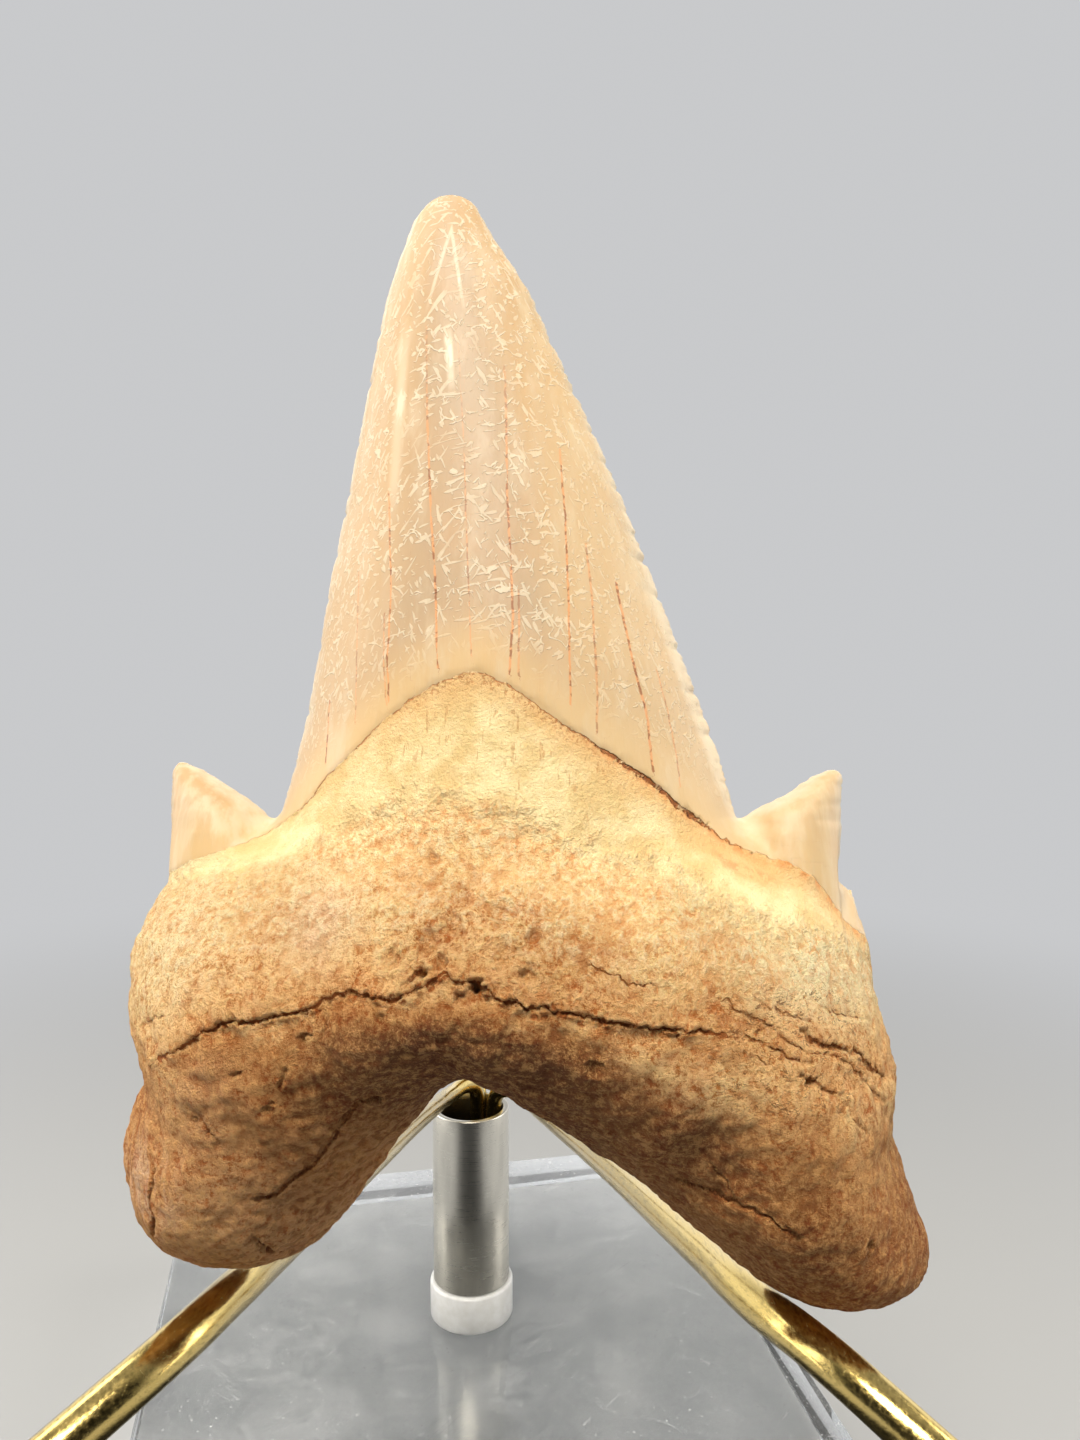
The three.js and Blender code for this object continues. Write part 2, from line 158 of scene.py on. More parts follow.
ARM_SLOPE = math.radians(18)
RIB_TURN = math.radians(-50.7)
ARM_ROUTES = {
    "left_arm": [
        (1.1, 0.9, 30.85), (1.1, 0.9, 46), (1.1, 0.8, 54.4), (0.8, -0.4, 58.4), (-0.6, -3.6, 60.2),
        (-2.4, -9, 61.2), (-4, -24, 65.5), (-5.6, -68, 79.7), (-6.7, -106, 92), (-7, -113, 94.2),
        (-8.3, -119.6, 95.3), (-11.6, -124.6, 94.2), (-16, -128.6, 91.8),
    ],
    "right_arm": [
        (3.8, 0.1, 30.85), (3.8, 0.1, 46), (3.8, 0, 54.2), (4.5, -1.2, 57.8), (6.3, -4, 59.7),
        (8.3, -11, 62.1), (12.2, -36, 70.3), (18.4, -77, 83.6), (22.9, -105.3, 92), (24.65, -114.4, 94.35),
        (26.85, -119.6, 95.05), (30.6, -124, 93.6), (35.4, -126.8, 90.4),
    ],
    "back_arm": [
        (1.2, 3.7, 30.85), (1.2, 3.7, 46), (1.2, 3.65, 57), (1.25, 2.2, 62), (1.4, -2, 65.8),
        (1.8, -10, 71.2), (2.6, -26, 82.4), (4.4, -57, 105.6), (6.2, -86, 127.9), (7.1, -95.8, 135.2),
        (7.6, -99.1, 139.2), (8.1, -99.9, 143.6), (8.6, -99.6, 148),
    ],
}

# Relief of the tooth, in its millimetres.
ENAMEL_STEP = 0.1
ENAMEL_GRAIN = 0.02
BAND_GRAIN = 0.04
LUMPS = 0.22
KNOLLS = 0.15
FANS = 0.07
MAIN_CRACK_DEPTH = 0.36
LIP_DROP = 0.35         # how far the bone under the main crack lies back
SEAM_DEPTH = 0.04
BOLD_SEAM_DEPTH = 0.12
EDGE_NICKS = 0.2
WIDE_PIT = 0.5          # pits from this size on are basins, coloured warm brown as painted shade
OFF_LINE = 9.0          # what the line measures hold away from a line, and where none reaches
NO_LINE = 99.0

# Stains of the root, and in the second list painted highlight at both shoulders: x, z, reach, strength,
# colour.
LOBE_STAINS = [
    (12, 9.4, 5, 0.7, (0.15, 0.045, 0.009)), (-16.5, 10, 6, 0.5, (0.60, 0.36, 0.18)),
    (-15, 2.5, 8, 0.75, (0.68, 0.40, 0.185)), (-7.5, 5.5, 5.5, 0.7, (0.66, 0.29, 0.085)),
    (18.5, 3.5, 4.5, 0.6, (0.19, 0.07, 0.014)), (21.5, 7, 4, 0.6, (0.66, 0.36, 0.13)),
    (20.5, -1, 4, 0.8, (0.36, 0.12, 0.02)),
]
ROOT_STAINS_AND_HIGHLIGHTS = [
    # painted highlight, pale at the right and the left shoulder
    (19, 18.5, 7, 0.85, (1.0, 0.88, 0.52)), (-19, 20, 7, 0.7, (1.0, 0.78, 0.42)),
    (-9.5, 20.5, 4.5, 0.5, (0.86, 0.66, 0.46)), (-4.6, 22.9, 2.8, 0.45, (0.88, 0.42, 0.15)),
    (5, 18, 6, 0.55, (0.58, 0.29, 0.09)), (13, 16, 5, 0.45, (0.58, 0.30, 0.10)),
    (-2, 19, 3.5, 0.4, (0.60, 0.30, 0.105)),
]
# Pale colour of the crown's worm marks, also of its painted highlight streaks and painted rim highlight
PALE_MARK_AND_HIGHLIGHT = (0.68, 0.62, 0.47)

# The stand, in millimetres.
BLOCK_TURN = math.radians(11.5)
TUBE_WALL = 0.9
TUBE_LIP = 0.16
PLUG_RADIUS = 5.15
PLUG_HEIGHT = 5
TURNED_STEPS = 96
ROD_END = 0.35          # rounding of the rods' cut ends
ACRYLIC_IOR = 1.49

# The room, and the lamps: name, place, size, which power, its share, colour.
ROOM_COLOUR = (0.97, 0.98, 1.0)
ROOM_GLOW = 0.6
AMBIENT_GLOW = 0.16
FLOOR_RADIUS = 3.0
FLOOR_HEIGHT = -0.2
TOOTH_MIDDLE = (0.009, -0.115, 0.125)
LAMPS = [
    ("key", (-0.04, -0.33, 0.52), (0.24, 0.16), "key", 1.0, (1, 0.96, 0.89)),
    ("fill_left", (-0.42, -0.02, 0.2), (0.25, 0.4), "fill", 1.0, (1, 0.97, 0.92)),
    ("fill_right", (0.42, 0, 0.22), (0.2, 0.4), "fill", 1.0, (1, 0.97, 0.92)),
    ("rear", (-0.45, 0.25, 0.55), (0.3, 0.3), "fill", 0.9, (1, 1, 1)),
]
CAMERA_PLACE = (11.6, -175.2, 133.85)
CAMERA_TILT = math.radians(90 - 4.55)
SENSOR_HEIGHT = 36.0
FOCAL_LENGTH = 27.03
CLIP = (4 * MM, 50)


# ---------------------------------------------------------------- what a user may change
class ToothSettings(bpy.types.PropertyGroup):
    voxel: bpy.props.FloatProperty(
        name="Grain of the mesh", description="Spacing of the tooth's mesh, in millimetres of the tooth",
        default=0.46, min=0.3, max=1.0)
    grain_depth: bpy.props.FloatProperty(
        name="Root roughness", description="Height of the root's grain, in millimetres",
        default=0.2, min=0.0, max=0.5)
    enamel: bpy.props.FloatVectorProperty(
        name="Enamel", description="Colour of the crown's enamel", subtype="COLOR",
        default=(0.415, 0.276, 0.145), min=0, max=1)
    bone: bpy.props.FloatVectorProperty(
        name="Root", description="Colour of the root", subtype="COLOR",
        default=(0.93, 0.55, 0.225), min=0, max=1)


class StandSettings(bpy.types.PropertyGroup):
    rod_diameter: bpy.props.FloatProperty(
        name="Rod", description="Diameter of the brass arms", subtype="DISTANCE", unit="LENGTH",
        default=2.5 * MM, min=1 * MM, max=4 * MM)
    block_edge: bpy.props.FloatProperty(
        name="Block edge", description="Rounding of the clear block's edges", subtype="DISTANCE",
        unit="LENGTH", default=0.5 * MM, min=0.1 * MM, max=2 * MM)
    brass: bpy.props.FloatVectorProperty(
        name="Brass", description="Colour of the arms", subtype="COLOR",
        default=(0.62, 0.46, 0.16), min=0, max=1)
    steel: bpy.props.FloatVectorProperty(
        name="Steel", description="Colour of the post", subtype="COLOR",
        default=(0.62, 0.585, 0.50), min=0, max=1)


class StudioSettings(bpy.types.PropertyGroup):
    floor: bpy.props.FloatVectorProperty(
        name="Floor", description="Colour of the floor", subtype="COLOR",
        default=(0.37, 0.37, 0.364), min=0, max=1)
    key: bpy.props.FloatProperty(
        name="Key light", description="Power of the soft light above the tooth",
        subtype="POWER", unit="POWER", default=4.7, min=0.0, max=200.0)
    fill: bpy.props.FloatProperty(
        name="Fill light", description="Power of the soft lights beside the tooth",
        subtype="POWER", unit="POWER", default=1.3, min=0.0, max=200.0)


# ---------------------------------------------------------------- shader writing
def maths(operation, reflected=False):
    """A method of Value that adds a Math node."""
    def method(self, *others):
        parts = (*others, self) if reflected else (self, *others)
        return self.board.add("ShaderNodeMath", {"operation": operation}, dict(enumerate(parts)))
    return method


class Value:
    """A number that varies over a surface; arithmetic on it adds Math nodes."""
    __add__ = __radd__ = maths("ADD")
    __mul__ = __rmul__ = maths("MULTIPLY")
    __sub__ = maths("SUBTRACT")
    __rsub__ = maths("SUBTRACT", reflected=True)
    __truediv__ = maths("DIVIDE")
    __pow__ = maths("POWER")
    size = maths("ABSOLUTE")
    most = maths("MAXIMUM")

    def __init__(self, board, socket):
        self.board = board
        self.socket = socket

    def between(self, low, high, start=0.0, end=1.0):
        """A smooth step from start to end as this value goes from low to high."""
        return self.board.add("ShaderNodeMapRange", {"interpolation_type": "SMOOTHSTEP"},
                              {"Value": self, "From Min": low, "From Max": high,
                               "To Min": start, "To Max": end})

    def within(self, start, full, fade, end):
        """1 from full to fade, falling to 0 at start and at end."""
        return self.between(start, full) * self.between(end, fade)

    def near(self, centre, reach, core):
        """1 within core of the centre, falling to 0 at reach."""
        return (self - centre).size().between(reach, core)


class Board:
    """The nodes of a material or of the world. Colours are given without their alpha."""

    def __init__(self, owner):
        owner.use_nodes = True
        self.owner = owner
        self.tree = owner.node_tree
        self.tree.nodes.clear()

    def add(self, kind, settings=None, inputs=None, out=0):
        """A node of that kind: its settings first, then its sockets' values or links."""
        node = self.tree.nodes.new(kind)
        for key, value in (settings or {}).items():
            setattr(node, key, value)
        for key, value in (inputs or {}).items():
            socket = node.inputs[key]
            if isinstance(value, Value):
                self.tree.links.new(value.socket, socket)
            elif socket.type == "RGBA":
                socket.default_value = (*value, 1)
            else:
                socket.default_value = value
        return Value(self, node.outputs[out])

    def place(self, centre=(0, 0, 0), turn=(0, 0, 0), scale=(1, 1, 1), kind="POINT"):
        """Object coordinates, moved, turned or scaled."""
        where = self.add("ShaderNodeTexCoord", out="Object")
        return self.add("ShaderNodeMapping", {"vector_type": kind},
                        {"Vector": where, "Location": centre, "Rotation": turn, "Scale": scale})

    def millimetres(self, turn=(0, 0, 0)):
        """Object coordinates in millimetres."""
        return self.place(turn=turn, scale=(1 / MM,) * 3)

    def stretch(self, where, scale):
        return self.add("ShaderNodeMapping", {}, {"Vector": where, "Scale": scale})

    def leaning(self, where, turn, long):
        """The tooth's frame turned in its face and drawn out along its new height."""
        return self.add("ShaderNodeMapping", {"vector_type": "TEXTURE"},
                        {"Vector": where, "Rotation": (0, turn, 0), "Scale": (1, 1, long)})

    def noise(self, where, scale, detail=3.0, roughness=0.5, distortion=0.0, out="Fac"):
        return self.add("ShaderNodeTexNoise", {}, {"Vector": where, "Scale": scale, "Detail": detail,
                                                   "Roughness": roughness, "Distortion": distortion}, out)

    def cells(self, where, scale, feature="F1"):
        return self.add("ShaderNodeTexVoronoi", {"feature": feature}, {"Vector": where, "Scale": scale})

    def warp(self, where, scale, amount):
        """The same place, wandering a little."""
        drift = self.noise(where, scale, 2.0, out="Color")
        return self.add("ShaderNodeVectorMath", {"operation": "MULTIPLY_ADD"},
                        {0: drift, 1: (amount,) * 3, 2: where})

    def axis(self, where, which):
        return self.add("ShaderNodeSeparateXYZ", {}, {"Vector": where}, out=which)

    def from_axis(self, where):
        """Distance from the upright axis."""
        return (self.axis(where, 0) ** 2 + self.axis(where, 1) ** 2) ** 0.5

    def stored(self, name):
        """A number kept on the mesh's points."""
        return self.add("ShaderNodeAttribute", {"attribute_name": name}, out="Fac")

    def ray(self, kind):
        """What the path tracer's ray is, or how deep."""
        return self.add("ShaderNodeLightPath", out=kind)

    def mix(self, amount, first, second, blend="MIX"):
        """A colour between two."""
        return self.add("ShaderNodeMix", {"data_type": "RGBA", "blend_type": blend, "clamp_factor": True},
                        {0: amount, 6: first, 7: second}, out=2)

    def coats(self, base, *rows):
        """The base colour under further ones: how much of each, and its colour."""
        for amount, colour in rows:
            base = self.mix(amount, base, colour)
        return base

    def blend(self, amount, first, second):
        """A number between two."""
        return self.add("ShaderNodeMix", {"clamp_factor": True}, {0: amount, 2: first, 3: second})

    def relief(self, height, distance, strength=1.0):
        return self.add("ShaderNodeBump", {}, {"Height": height, "Distance": distance, "Strength": strength})

    def surface(self, **inputs):
        """The main shader; names are its sockets, with _ for a space."""
        return self.add("ShaderNodeBsdfPrincipled", {},
                        {key.replace("_", " "): value for key, value in inputs.items()})

    def either(self, amount, first, second):
        """The first shader, and the second by that amount."""
        return self.add("ShaderNodeMixShader", {}, {0: amount, 1: first, 2: second})

    def glow(self, colour, strength, kind="Emission"):
        return self.add("ShaderNode" + kind, {}, {"Color": colour, "Strength": strength})

    def finish(self, kind="Material", **outputs):
        """Links the shaders to the output and gives back what the nodes belong to."""
        end = self.tree.nodes.new("ShaderNodeOutput" + kind)
        for key, value in outputs.items():
            self.tree.links.new(value.socket, end.inputs[key])
        return self.owner


def material_board(name):
    return Board(bpy.data.materials.new(name))


# ---------------------------------------------------------------- the tooth's shape
def tooth_matrix():
    """From the tooth's frame, in millimetres, to the row's frame, in metres."""
    turn = Euler((-TOOTH_LEAN, 0, -TOOTH_TURN), "XYZ").to_matrix().to_4x4()
    return (Matrix.Scale(MM, 4) @ Matrix.Translation(TOOTH_PLACE) @ turn
            @ Matrix.Scale(TOOTH_SCALE, 4))


def smoothstep(low, high, value):
    t = np.clip((value - low) / (high - low), 0, 1)
    return t * t * (3 - 2 * t)


def line_distance(x, z, line):
    """Signed distance from each point to a line of straight stretches, and how far from its ends."""
    nearest = np.full(x.shape, FAR)
    from_end = np.zeros(x.shape)
    lengths = [math.dist(p, q) for p, q in zip(line[:-1], line[1:])]
    travelled = 0.0
    for (ax, az), (bx, bz), length in zip(line[:-1], line[1:], lengths):
        dx, dz = (bx - ax) / length, (bz - az) / length
        along = np.clip((x - ax) * dx + (z - az) * dz, 0, length)
        gap = np.hypot(x - ax - along * dx, z - az - along * dz)
        side = np.where((x - ax) * dz - (z - az) * dx < 0, -1.0, 1.0)
        closer = gap < np.abs(nearest)
        nearest = np.where(closer, side * gap, nearest)
        place = travelled + along
        from_end = np.where(closer, np.minimum(place, sum(lengths) - place), from_end)
        travelled += length
    return nearest, from_end


def line_set(x, z, lines, off):
    """Signed distance to the nearest line of a set, in its half widths, kept large away from it."""
    best = np.full(x.shape, OFF_LINE)
    result = np.full(x.shape, NO_LINE)
    for half, line in lines:
        gap, from_end = line_distance(x, z, line)
        away = 1 - smoothstep(0.5, 0.35, np.abs(gap)) * smoothstep(-0.05, 0.6, from_end)
        side = np.where(gap < 0, -1.0, 1.0)
        value = side * (np.abs(gap) + 4 * away) / half
        closer = np.abs(gap) < best
        result = np.where(closer, value, result)
        best = np.where(closer, np.abs(gap), best)
    return np.where(off, NO_LINE, result)


def above_line(x, z, line):
    """Height above a line that runs from left to right."""
    return z - np.interp(x, [p[0] for p in line], [p[1] for p in line])


def grain(points, scale, octaves, seed=0.0):
    """Fractal noise at each point, about -1 to 1."""
    offset = Vector((seed, seed * 1.7, -seed))
    return np.array([noise.fractal(Vector(p) * scale + offset, 1.0, 2.0, octaves) for p in points])


def read_points(mesh):
    points = np.empty(len(mesh.vertices) * 3)
    mesh.vertices.foreach_get("co", points)
    return points.reshape(-1, 3)


def read_normals(mesh):
    normals = np.empty(len(mesh.vertices) * 3, np.float32)
    mesh.vertex_normals.foreach_get("vector", normals)
    return normals.reshape(-1, 3).astype(float)


def write_points(mesh, points):
    mesh.vertices.foreach_set("co", points.ravel())
    mesh.update()


def soften(mesh, weight, hands, furthest=None):
    """Draws points to their neighbours by their weight, or from them where a hand is below 0."""
    ends = np.empty(len(mesh.edges) * 2, np.int64)
    mesh.edges.foreach_get("vertices", ends)
    a, b = ends.reshape(-1, 2).T
    start = read_points(mesh)
    points = start.copy()
    count = len(points)
    valence = np.maximum(np.bincount(a, minlength=count) + np.bincount(b, minlength=count), 1)[:, None]
    share = weight[:, None] / valence
    for hand in hands:
        total = np.stack([np.bincount(a, column[b], count) + np.bincount(b, column[a], count)
                          for column in points.T], axis=1)
        points += hand * share * (total - points * valence)
    if furthest:
        moved = points - start
        length = np.linalg.norm(moved, axis=1)[:, None]
        points = start + moved * np.minimum(1, furthest / np.maximum(length, 1 / FAR))
    write_points(mesh, points)


@contextmanager
def edited(mesh):
    """The mesh opened for work, and written back afterwards."""
    work = bmesh.new()
    work.from_mesh(mesh)
    yield work
    work.to_mesh(mesh)
    work.free()


def evaluated(data, **remesh):
    """The mesh that Blender makes of a curve, or of a mesh remeshed with those settings."""
    source = bpy.data.objects.new("source", data)
    bpy.context.scene.collection.objects.link(source)
    if remesh:
        modifier = source.modifiers.new("even", "REMESH")
        for key, value in remesh.items():
            setattr(modifier, key, value)
    graph = bpy.context.evaluated_depsgraph_get()
    mesh = bpy.data.meshes.new_from_object(source.evaluated_get(graph))
    bpy.data.objects.remove(source)
    return mesh


def solid_copy(node, name):
    """A copy of a CAD node's mesh with its shared points merged."""
    copy = bmesh.new()
    copy.from_mesh(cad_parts[node].data)
    bmesh.ops.remove_doubles(copy, verts=copy.verts, dist=SAME_POINT)
    mesh = bpy.data.meshes.new(name)
    copy.to_mesh(mesh)
    copy.free()
    return mesh


def rim_points(mesh, degrees, spacing):
    """Points along the edges that stand out at more than that angle."""
    spots = []
    with edited(mesh) as work:
        for edge in work.edges:
            if edge.is_convex and edge.calc_face_angle(0) > math.radians(degrees):
                first, second = (v.co for v in edge.verts)
                steps = max(1, int((second - first).length / spacing))
                spots += [first.lerp(second, i / steps) for i in range(steps + 1)]
    tree = KDTree(len(spots))
    for index, spot in enumerate(spots):
        tree.insert(spot, index)
    tree.balance()
    return tree


def sharpen(mesh, rims, near, far, share):
    """Draws the points beside a rim almost onto it, by less than all so that no two of them meet."""
    points = read_points(mesh)
    for index, point in enumerate(points):
        spot, _, distance = rims.find(point)
        if distance < far:
            pull = share * float(smoothstep(far, near, distance))
            points[index] += pull * (np.array(spot) - point)
    write_points(mesh, points)


def refine(mesh, wanted):
    """Halves the spacing where wanted(points) is true."""
    chosen = wanted(read_points(mesh))
    with edited(mesh) as work:
        work.verts.ensure_lookup_table()
        edges = [e for e in work.edges if chosen[e.verts[0].index] and chosen[e.verts[1].index]]
        bmesh.ops.subdivide_edges(work, edges=edges, cuts=1, use_grid_fill=True)


def near_detail(reach):
    """A test for points on the inner face within reach of a crack, a pit or the enamel's edge."""
    lines = [MAIN_CRACK, ENAMEL_EDGE]
    lines += [line for group in ROOT_CRACKS for _, _, line in group]
    lines += [line for group in CROWN_CRACKS for _, line in group]

    def wanted(points):
        x, y, z = points.T
        nearest = np.full(x.shape, FAR)
        for line in lines:
            nearest = np.minimum(nearest, np.abs(line_distance(x, z, line)[0]))
        for px, pz, size, _ in PITS:
            nearest = np.minimum(nearest, np.hypot(x - px, z - pz) - size)
        return (nearest < reach) & (y < 0.5)
    return wanted


def coarse_places(rims):
    """A test for the inner root, the side cusps and the crown's cutting edges."""
    def wanted(points):
        x, y, z = points.T
        by_rim = np.array([rims.find(p)[2] < 0.9 for p in points])
        return ((z < 27) & (y < 1.2)) | ((np.abs(x) > 14.5) & (z > 19)) | by_rim
    return wanted


def crown_side(x, z):
    """How far across the crown a point is: -1 at its left edge, 1 at its right."""
    middle = np.interp(z, [26, 47, 69], [-0.3, -2.1, -4.9])
    half = np.interp(z, [26, 36.6, 47, 55, 62.3, 69], [15.1, 12, 9.35, 7, 4.75, 1.5])
    return (x - middle) / half


def tooth_zones(points):
    """Where the inner face, the enamel, the smooth band and the grainy root are."""
    x, y, z = points.T
    t = SimpleNamespace(inner=smoothstep(1.0, -0.5, y))
    outer = smoothstep(0.2, 1.6, y)
    outer_edge = 22.5 + 0.012 * x * x       # the outer face's enamel comes lower
    t.over = above_line(x, z, ENAMEL_EDGE) * (1 - outer) + (z - outer_edge) * outer
    t.under = above_line(x, z, BAND_EDGE) + 3 * outer
    t.enamel = smoothstep(-0.12, 0.12, t.over)
    t.band = smoothstep(-1.2, 0.9, t.under) * (1 - t.enamel)
    t.root = 1 - np.maximum(t.enamel, t.band)
    return t


def grain_height(points, t, depth):
    """Grain, lumps and ribs of the surface, and the two noises that the finish reads too."""
    x, _, z = points.T
    along = points * (1, 1, 0.2)
    fine = grain(points, 1.5, 4, 1.0)
    lumps = grain(points, 0.26, 2, 7.0)
    rough_middle = smoothstep(8, 2, np.hypot(x + 0.5, (z - 18.3) * 1.5))
    fans = grain(along, 1.3, 2, 29.0) * smoothstep(13, 8, z) * smoothstep(0, -6, x)
    knolls = grain(points, 0.7, 2, 3.0) * t.inner * smoothstep(0, 5, z)
    fine_depth = depth * fine * (0.45 + 0.9 * rough_middle)
    height = t.root * (fine_depth + LUMPS * lumps + FANS * fans + KNOLLS * knolls)
    height += t.band * BAND_GRAIN * grain(points, 1.6, 3, 5.0)
    height += ENAMEL_STEP * smoothstep(-0.1, 0.15, t.over) * (0.25 + 0.75 * smoothstep(17, 13, np.abs(x)))
    height += t.enamel * ENAMEL_GRAIN * grain(along, 1.4, 2, 9.0)
    return height, fine, lumps


def damage_depth(points, t, zig):
    """Depth of the cracks, pits and worn places, and masks of the small and the wide pits."""
    x, _, z = points.T
    inner = t.inner
    depth = 0.5 * smoothstep(2.4, 0, np.hypot(x + 23.5, z - 10.5))      # notch of the left flank
    side = smoothstep(21, 14, -x) * smoothstep(14.5, 10, x)
    width = 0.04 + 0.075 * side * (0.75 + 0.9 * grain(points, 0.8, 2, 13.0))
    distance = np.abs(line_distance(x + zig, z + 1.6 * zig, MAIN_CRACK)[0])
    depth += MAIN_CRACK_DEPTH * inner * side * smoothstep(width + 0.12, width * 0.35, distance)
    gap = above_line(x, z, MAIN_CRACK)
    depth += LIP_DROP * smoothstep(0, -0.4, gap) * smoothstep(-4.5, -0.4, gap) * inner * side
    for half, deep, line in [row for group in ROOT_CRACKS for row in group]:
        distance = np.abs(line_distance(x + zig, z + zig, line)[0])
        depth += deep * inner * smoothstep(half + 0.1, half * 0.4, distance)
    hollow = np.zeros(len(x))
    shaded_basin = np.zeros(len(x))
    for px, pz, size, deep in PITS:
        hole = inner * smoothstep(size * 1.15, size * 0.3, np.hypot(x + 2 * zig - px, z + 2 * zig - pz))
        hollow = np.maximum(hollow, hole * deep * (size < WIDE_PIT))
        shaded_basin = np.maximum(shaded_basin, hole * (size >= WIDE_PIT))
        depth += deep * hole
    distance = np.abs(line_distance(x + zig, z + zig, ENAMEL_EDGE[5:19])[0])
    seam = inner * smoothstep(0.16, 0.04, distance) * np.where(x > 0.5, 1.0, 0.5)
    depth += seam * np.where(x > 4, BOLD_SEAM_DEPTH, SEAM_DEPTH)
    facet = smoothstep(0.25, -0.25, np.abs(x + 4.1) * 2.2 + z - 64.6) * smoothstep(56, 60, z)
    depth += 0.1 * facet * inner * t.enamel
    return depth, hollow, shaded_basin


def trim_edges(points):
    """Chips and nicks of the crown's cutting edges, and the side cusps' waists."""
    x, _, z = points.T
    across = crown_side(x, z)
    rim = smoothstep(0.86, 0.99, np.abs(across)) * (z > 26)
    for hand, height, reach, deep in EDGE_CHIPS:
        near = smoothstep(reach, 0, np.abs(z - height)) * rim * (np.sign(across) == hand)
        points[:, 0] -= 0.6 * hand * deep * near
    nick = EDGE_NICKS * np.abs(grain(points * (0, 0, 1), 1.5, 3, 19.0)) * rim
    points[:, 0] -= np.sign(across) * nick * np.where(across > 0, 1.0, 0.6)
    waist = smoothstep(27.5, 24, z) * smoothstep(18.2, 20.6, z)
    notch = smoothstep(24.5, 23.2, z) * smoothstep(22.1, 22.6, z)
    points[:, 0] -= (0.4 * waist + 0.35 * notch) * smoothstep(20.4, 21.2, x)
    points[:, 0] += 0.4 * waist * smoothstep(-21.6, -22.6, x)
    return across


def sculpt_tooth(mesh, depth):
    """Enamel step, cracks, pits, chips and grain, and the measures that the finish reads."""
    points = read_points(mesh)
    normals = read_normals(mesh)
    t = tooth_zones(points)
    zig = 0.16 * grain(points, 1.9, 4, 11.0)
    height, fine, lumps = grain_height(points, t, depth)
    damage, hollow, shaded_basin = damage_depth(points, t, zig)
    across = trim_edges(points)
    points += normals * (height - damage)[:, None]
    write_points(mesh, points)
    x, y, z = points.T
    back = y > 0.3
    gap = above_line(x + zig, z + 1.6 * zig, MAIN_CRACK)
    measures = {
        "over": t.over + 0.7 * zig, "under": t.under, "hollow": hollow, "shaded_basin": shaded_basin, "across": across,
        # edge: where the surface turns sideways, for a painted rim highlight
        "edge": smoothstep(0.6, 0.25, np.abs(normals[:, 1])) * smoothstep(20, 21, z),
        # tint follows the mesh's lumps and grain; the finish paints shade where it is low
        "gap": np.where(back, OFF_LINE, gap), "tint": 0.5 + 0.3 * lumps + 0.6 * fine,
    }
    for index, group in enumerate(ROOT_CRACKS):
        lines = [(half, line) for half, _, line in group]
        measures["crack_%d" % index] = line_set(x + zig, z + zig, lines, back)
    for index, group in enumerate(CROWN_CRACKS):
        measures["vein_%d" % index] = line_set(x + 0.25 * zig, z, group, back)
    for name, values in measures.items():
        layer = mesh.attributes.new(name, "FLOAT", "POINT")
        layer.data.foreach_set("value", values.astype(np.float32))


def add_spur(mesh):
    """Joins on the small second cusp of the right shoulder, crisper than the even mesh holds it."""
    low, high = 14.0, 22.1
    work = bmesh.new()
    bmesh.ops.create_cone(work, cap_ends=True, segments=24, radius1=1.0, radius2=0.02, depth=1.0)
    sides = [edge for edge in work.edges if edge.calc_length() > 0.9]
    bmesh.ops.subdivide_edges(work, edges=sides, cuts=14)
    for vert in work.verts:
        rise = vert.co.z + 0.5
        swell = max(1 - rise, 0.05) ** -0.15
        vert.co.x = 20.4 + 1.5 * rise + vert.co.x * 2.0 * swell
        vert.co.y = vert.co.y * 1.2 * swell - 0.1
        vert.co.z = low + (high - low) * rise
    work.from_mesh(mesh)
    work.to_mesh(mesh)
    work.free()


def tooth_mesh(settings):
    """The CAD tooth in an even, finer mesh, its joins softened, its rims kept and its surface worked."""
    mesh = solid_copy("shark_tooth", "shark_tooth_shape")
    to_row = tooth_matrix()
    mesh.transform(to_row.inverted())
    rims = rim_points(mesh, degrees=50, spacing=0.1)
    even = evaluated(mesh, mode="VOXEL", voxel_size=settings.voxel, adaptivity=0.0)
    refine(even, coarse_places(rims))
    soften(even, np.full(len(even.vertices), 0.5), [1.0, -1.03] * 20, furthest=0.12)
    x, y, z = read_points(even).T
    join = smoothstep(15, 21, z) * smoothstep(36, 30, z) * smoothstep(17, 11, np.abs(x))
    join = join * smoothstep(0.5, -1.5, y)
    soften(even, 0.5 * join, [1.0] * 200)
    refine(even, near_detail(0.4))
    sharpen(even, rims, near=0.2, far=0.42, share=0.9)
    add_spur(even)
    sculpt_tooth(even, settings.grain_depth)
    even.transform(to_row)
    return even


# ---------------------------------------------------------------- finishes
def tooth_fields(b):
    """The tooth's frame, the mesh's measures and the noises that several layers share."""
    here = b.place(tuple(MM * v for v in TOOTH_PLACE), (-TOOTH_LEAN, 0, -TOOTH_TURN),
                   (TOOTH_SCALE * MM,) * 3, "TEXTURE")
    f = SimpleNamespace(here=here, x=b.axis(here, 0), z=b.axis(here, 2))
    f.over, f.under, f.gap = b.stored("over"), b.stored("under"), b.stored("gap")
    f.across = b.stored("across").size()
    f.ragged = b.noise(here, 2.6, 4, 0.65) - 0.5
    f.broken = b.noise(here, 1.3, 3, 0.6)
    f.streak = b.noise(b.stretch(here, (1, 1, 0.12)), 0.9, 4, 0.6)
    f.grit = b.noise(here, 4.0, 4, 0.8)
    f.fibre = b.noise(b.stretch(here, (1, 1, 0.85)), 2.0, 5, 0.8)
    f.enamel = (f.over + f.ragged * 0.3).between(-0.05, 0.05)
    f.band = (f.under + (b.noise(here, 0.8, 4, 0.65) - 0.5) * 5).between(-1.6, 1.2)
    return f


def spot(f, px, pz, reach):
    """1 at a place on the inner face, fading to 0 at its reach."""
    return (((f.x - px) ** 2 + (f.z - pz) ** 2) ** 0.5).between(reach, 0)


def stains_and_light(f, rows):
    return [(spot(f, px, pz, reach) * strength, colour) for px, pz, reach, strength, colour in rows]


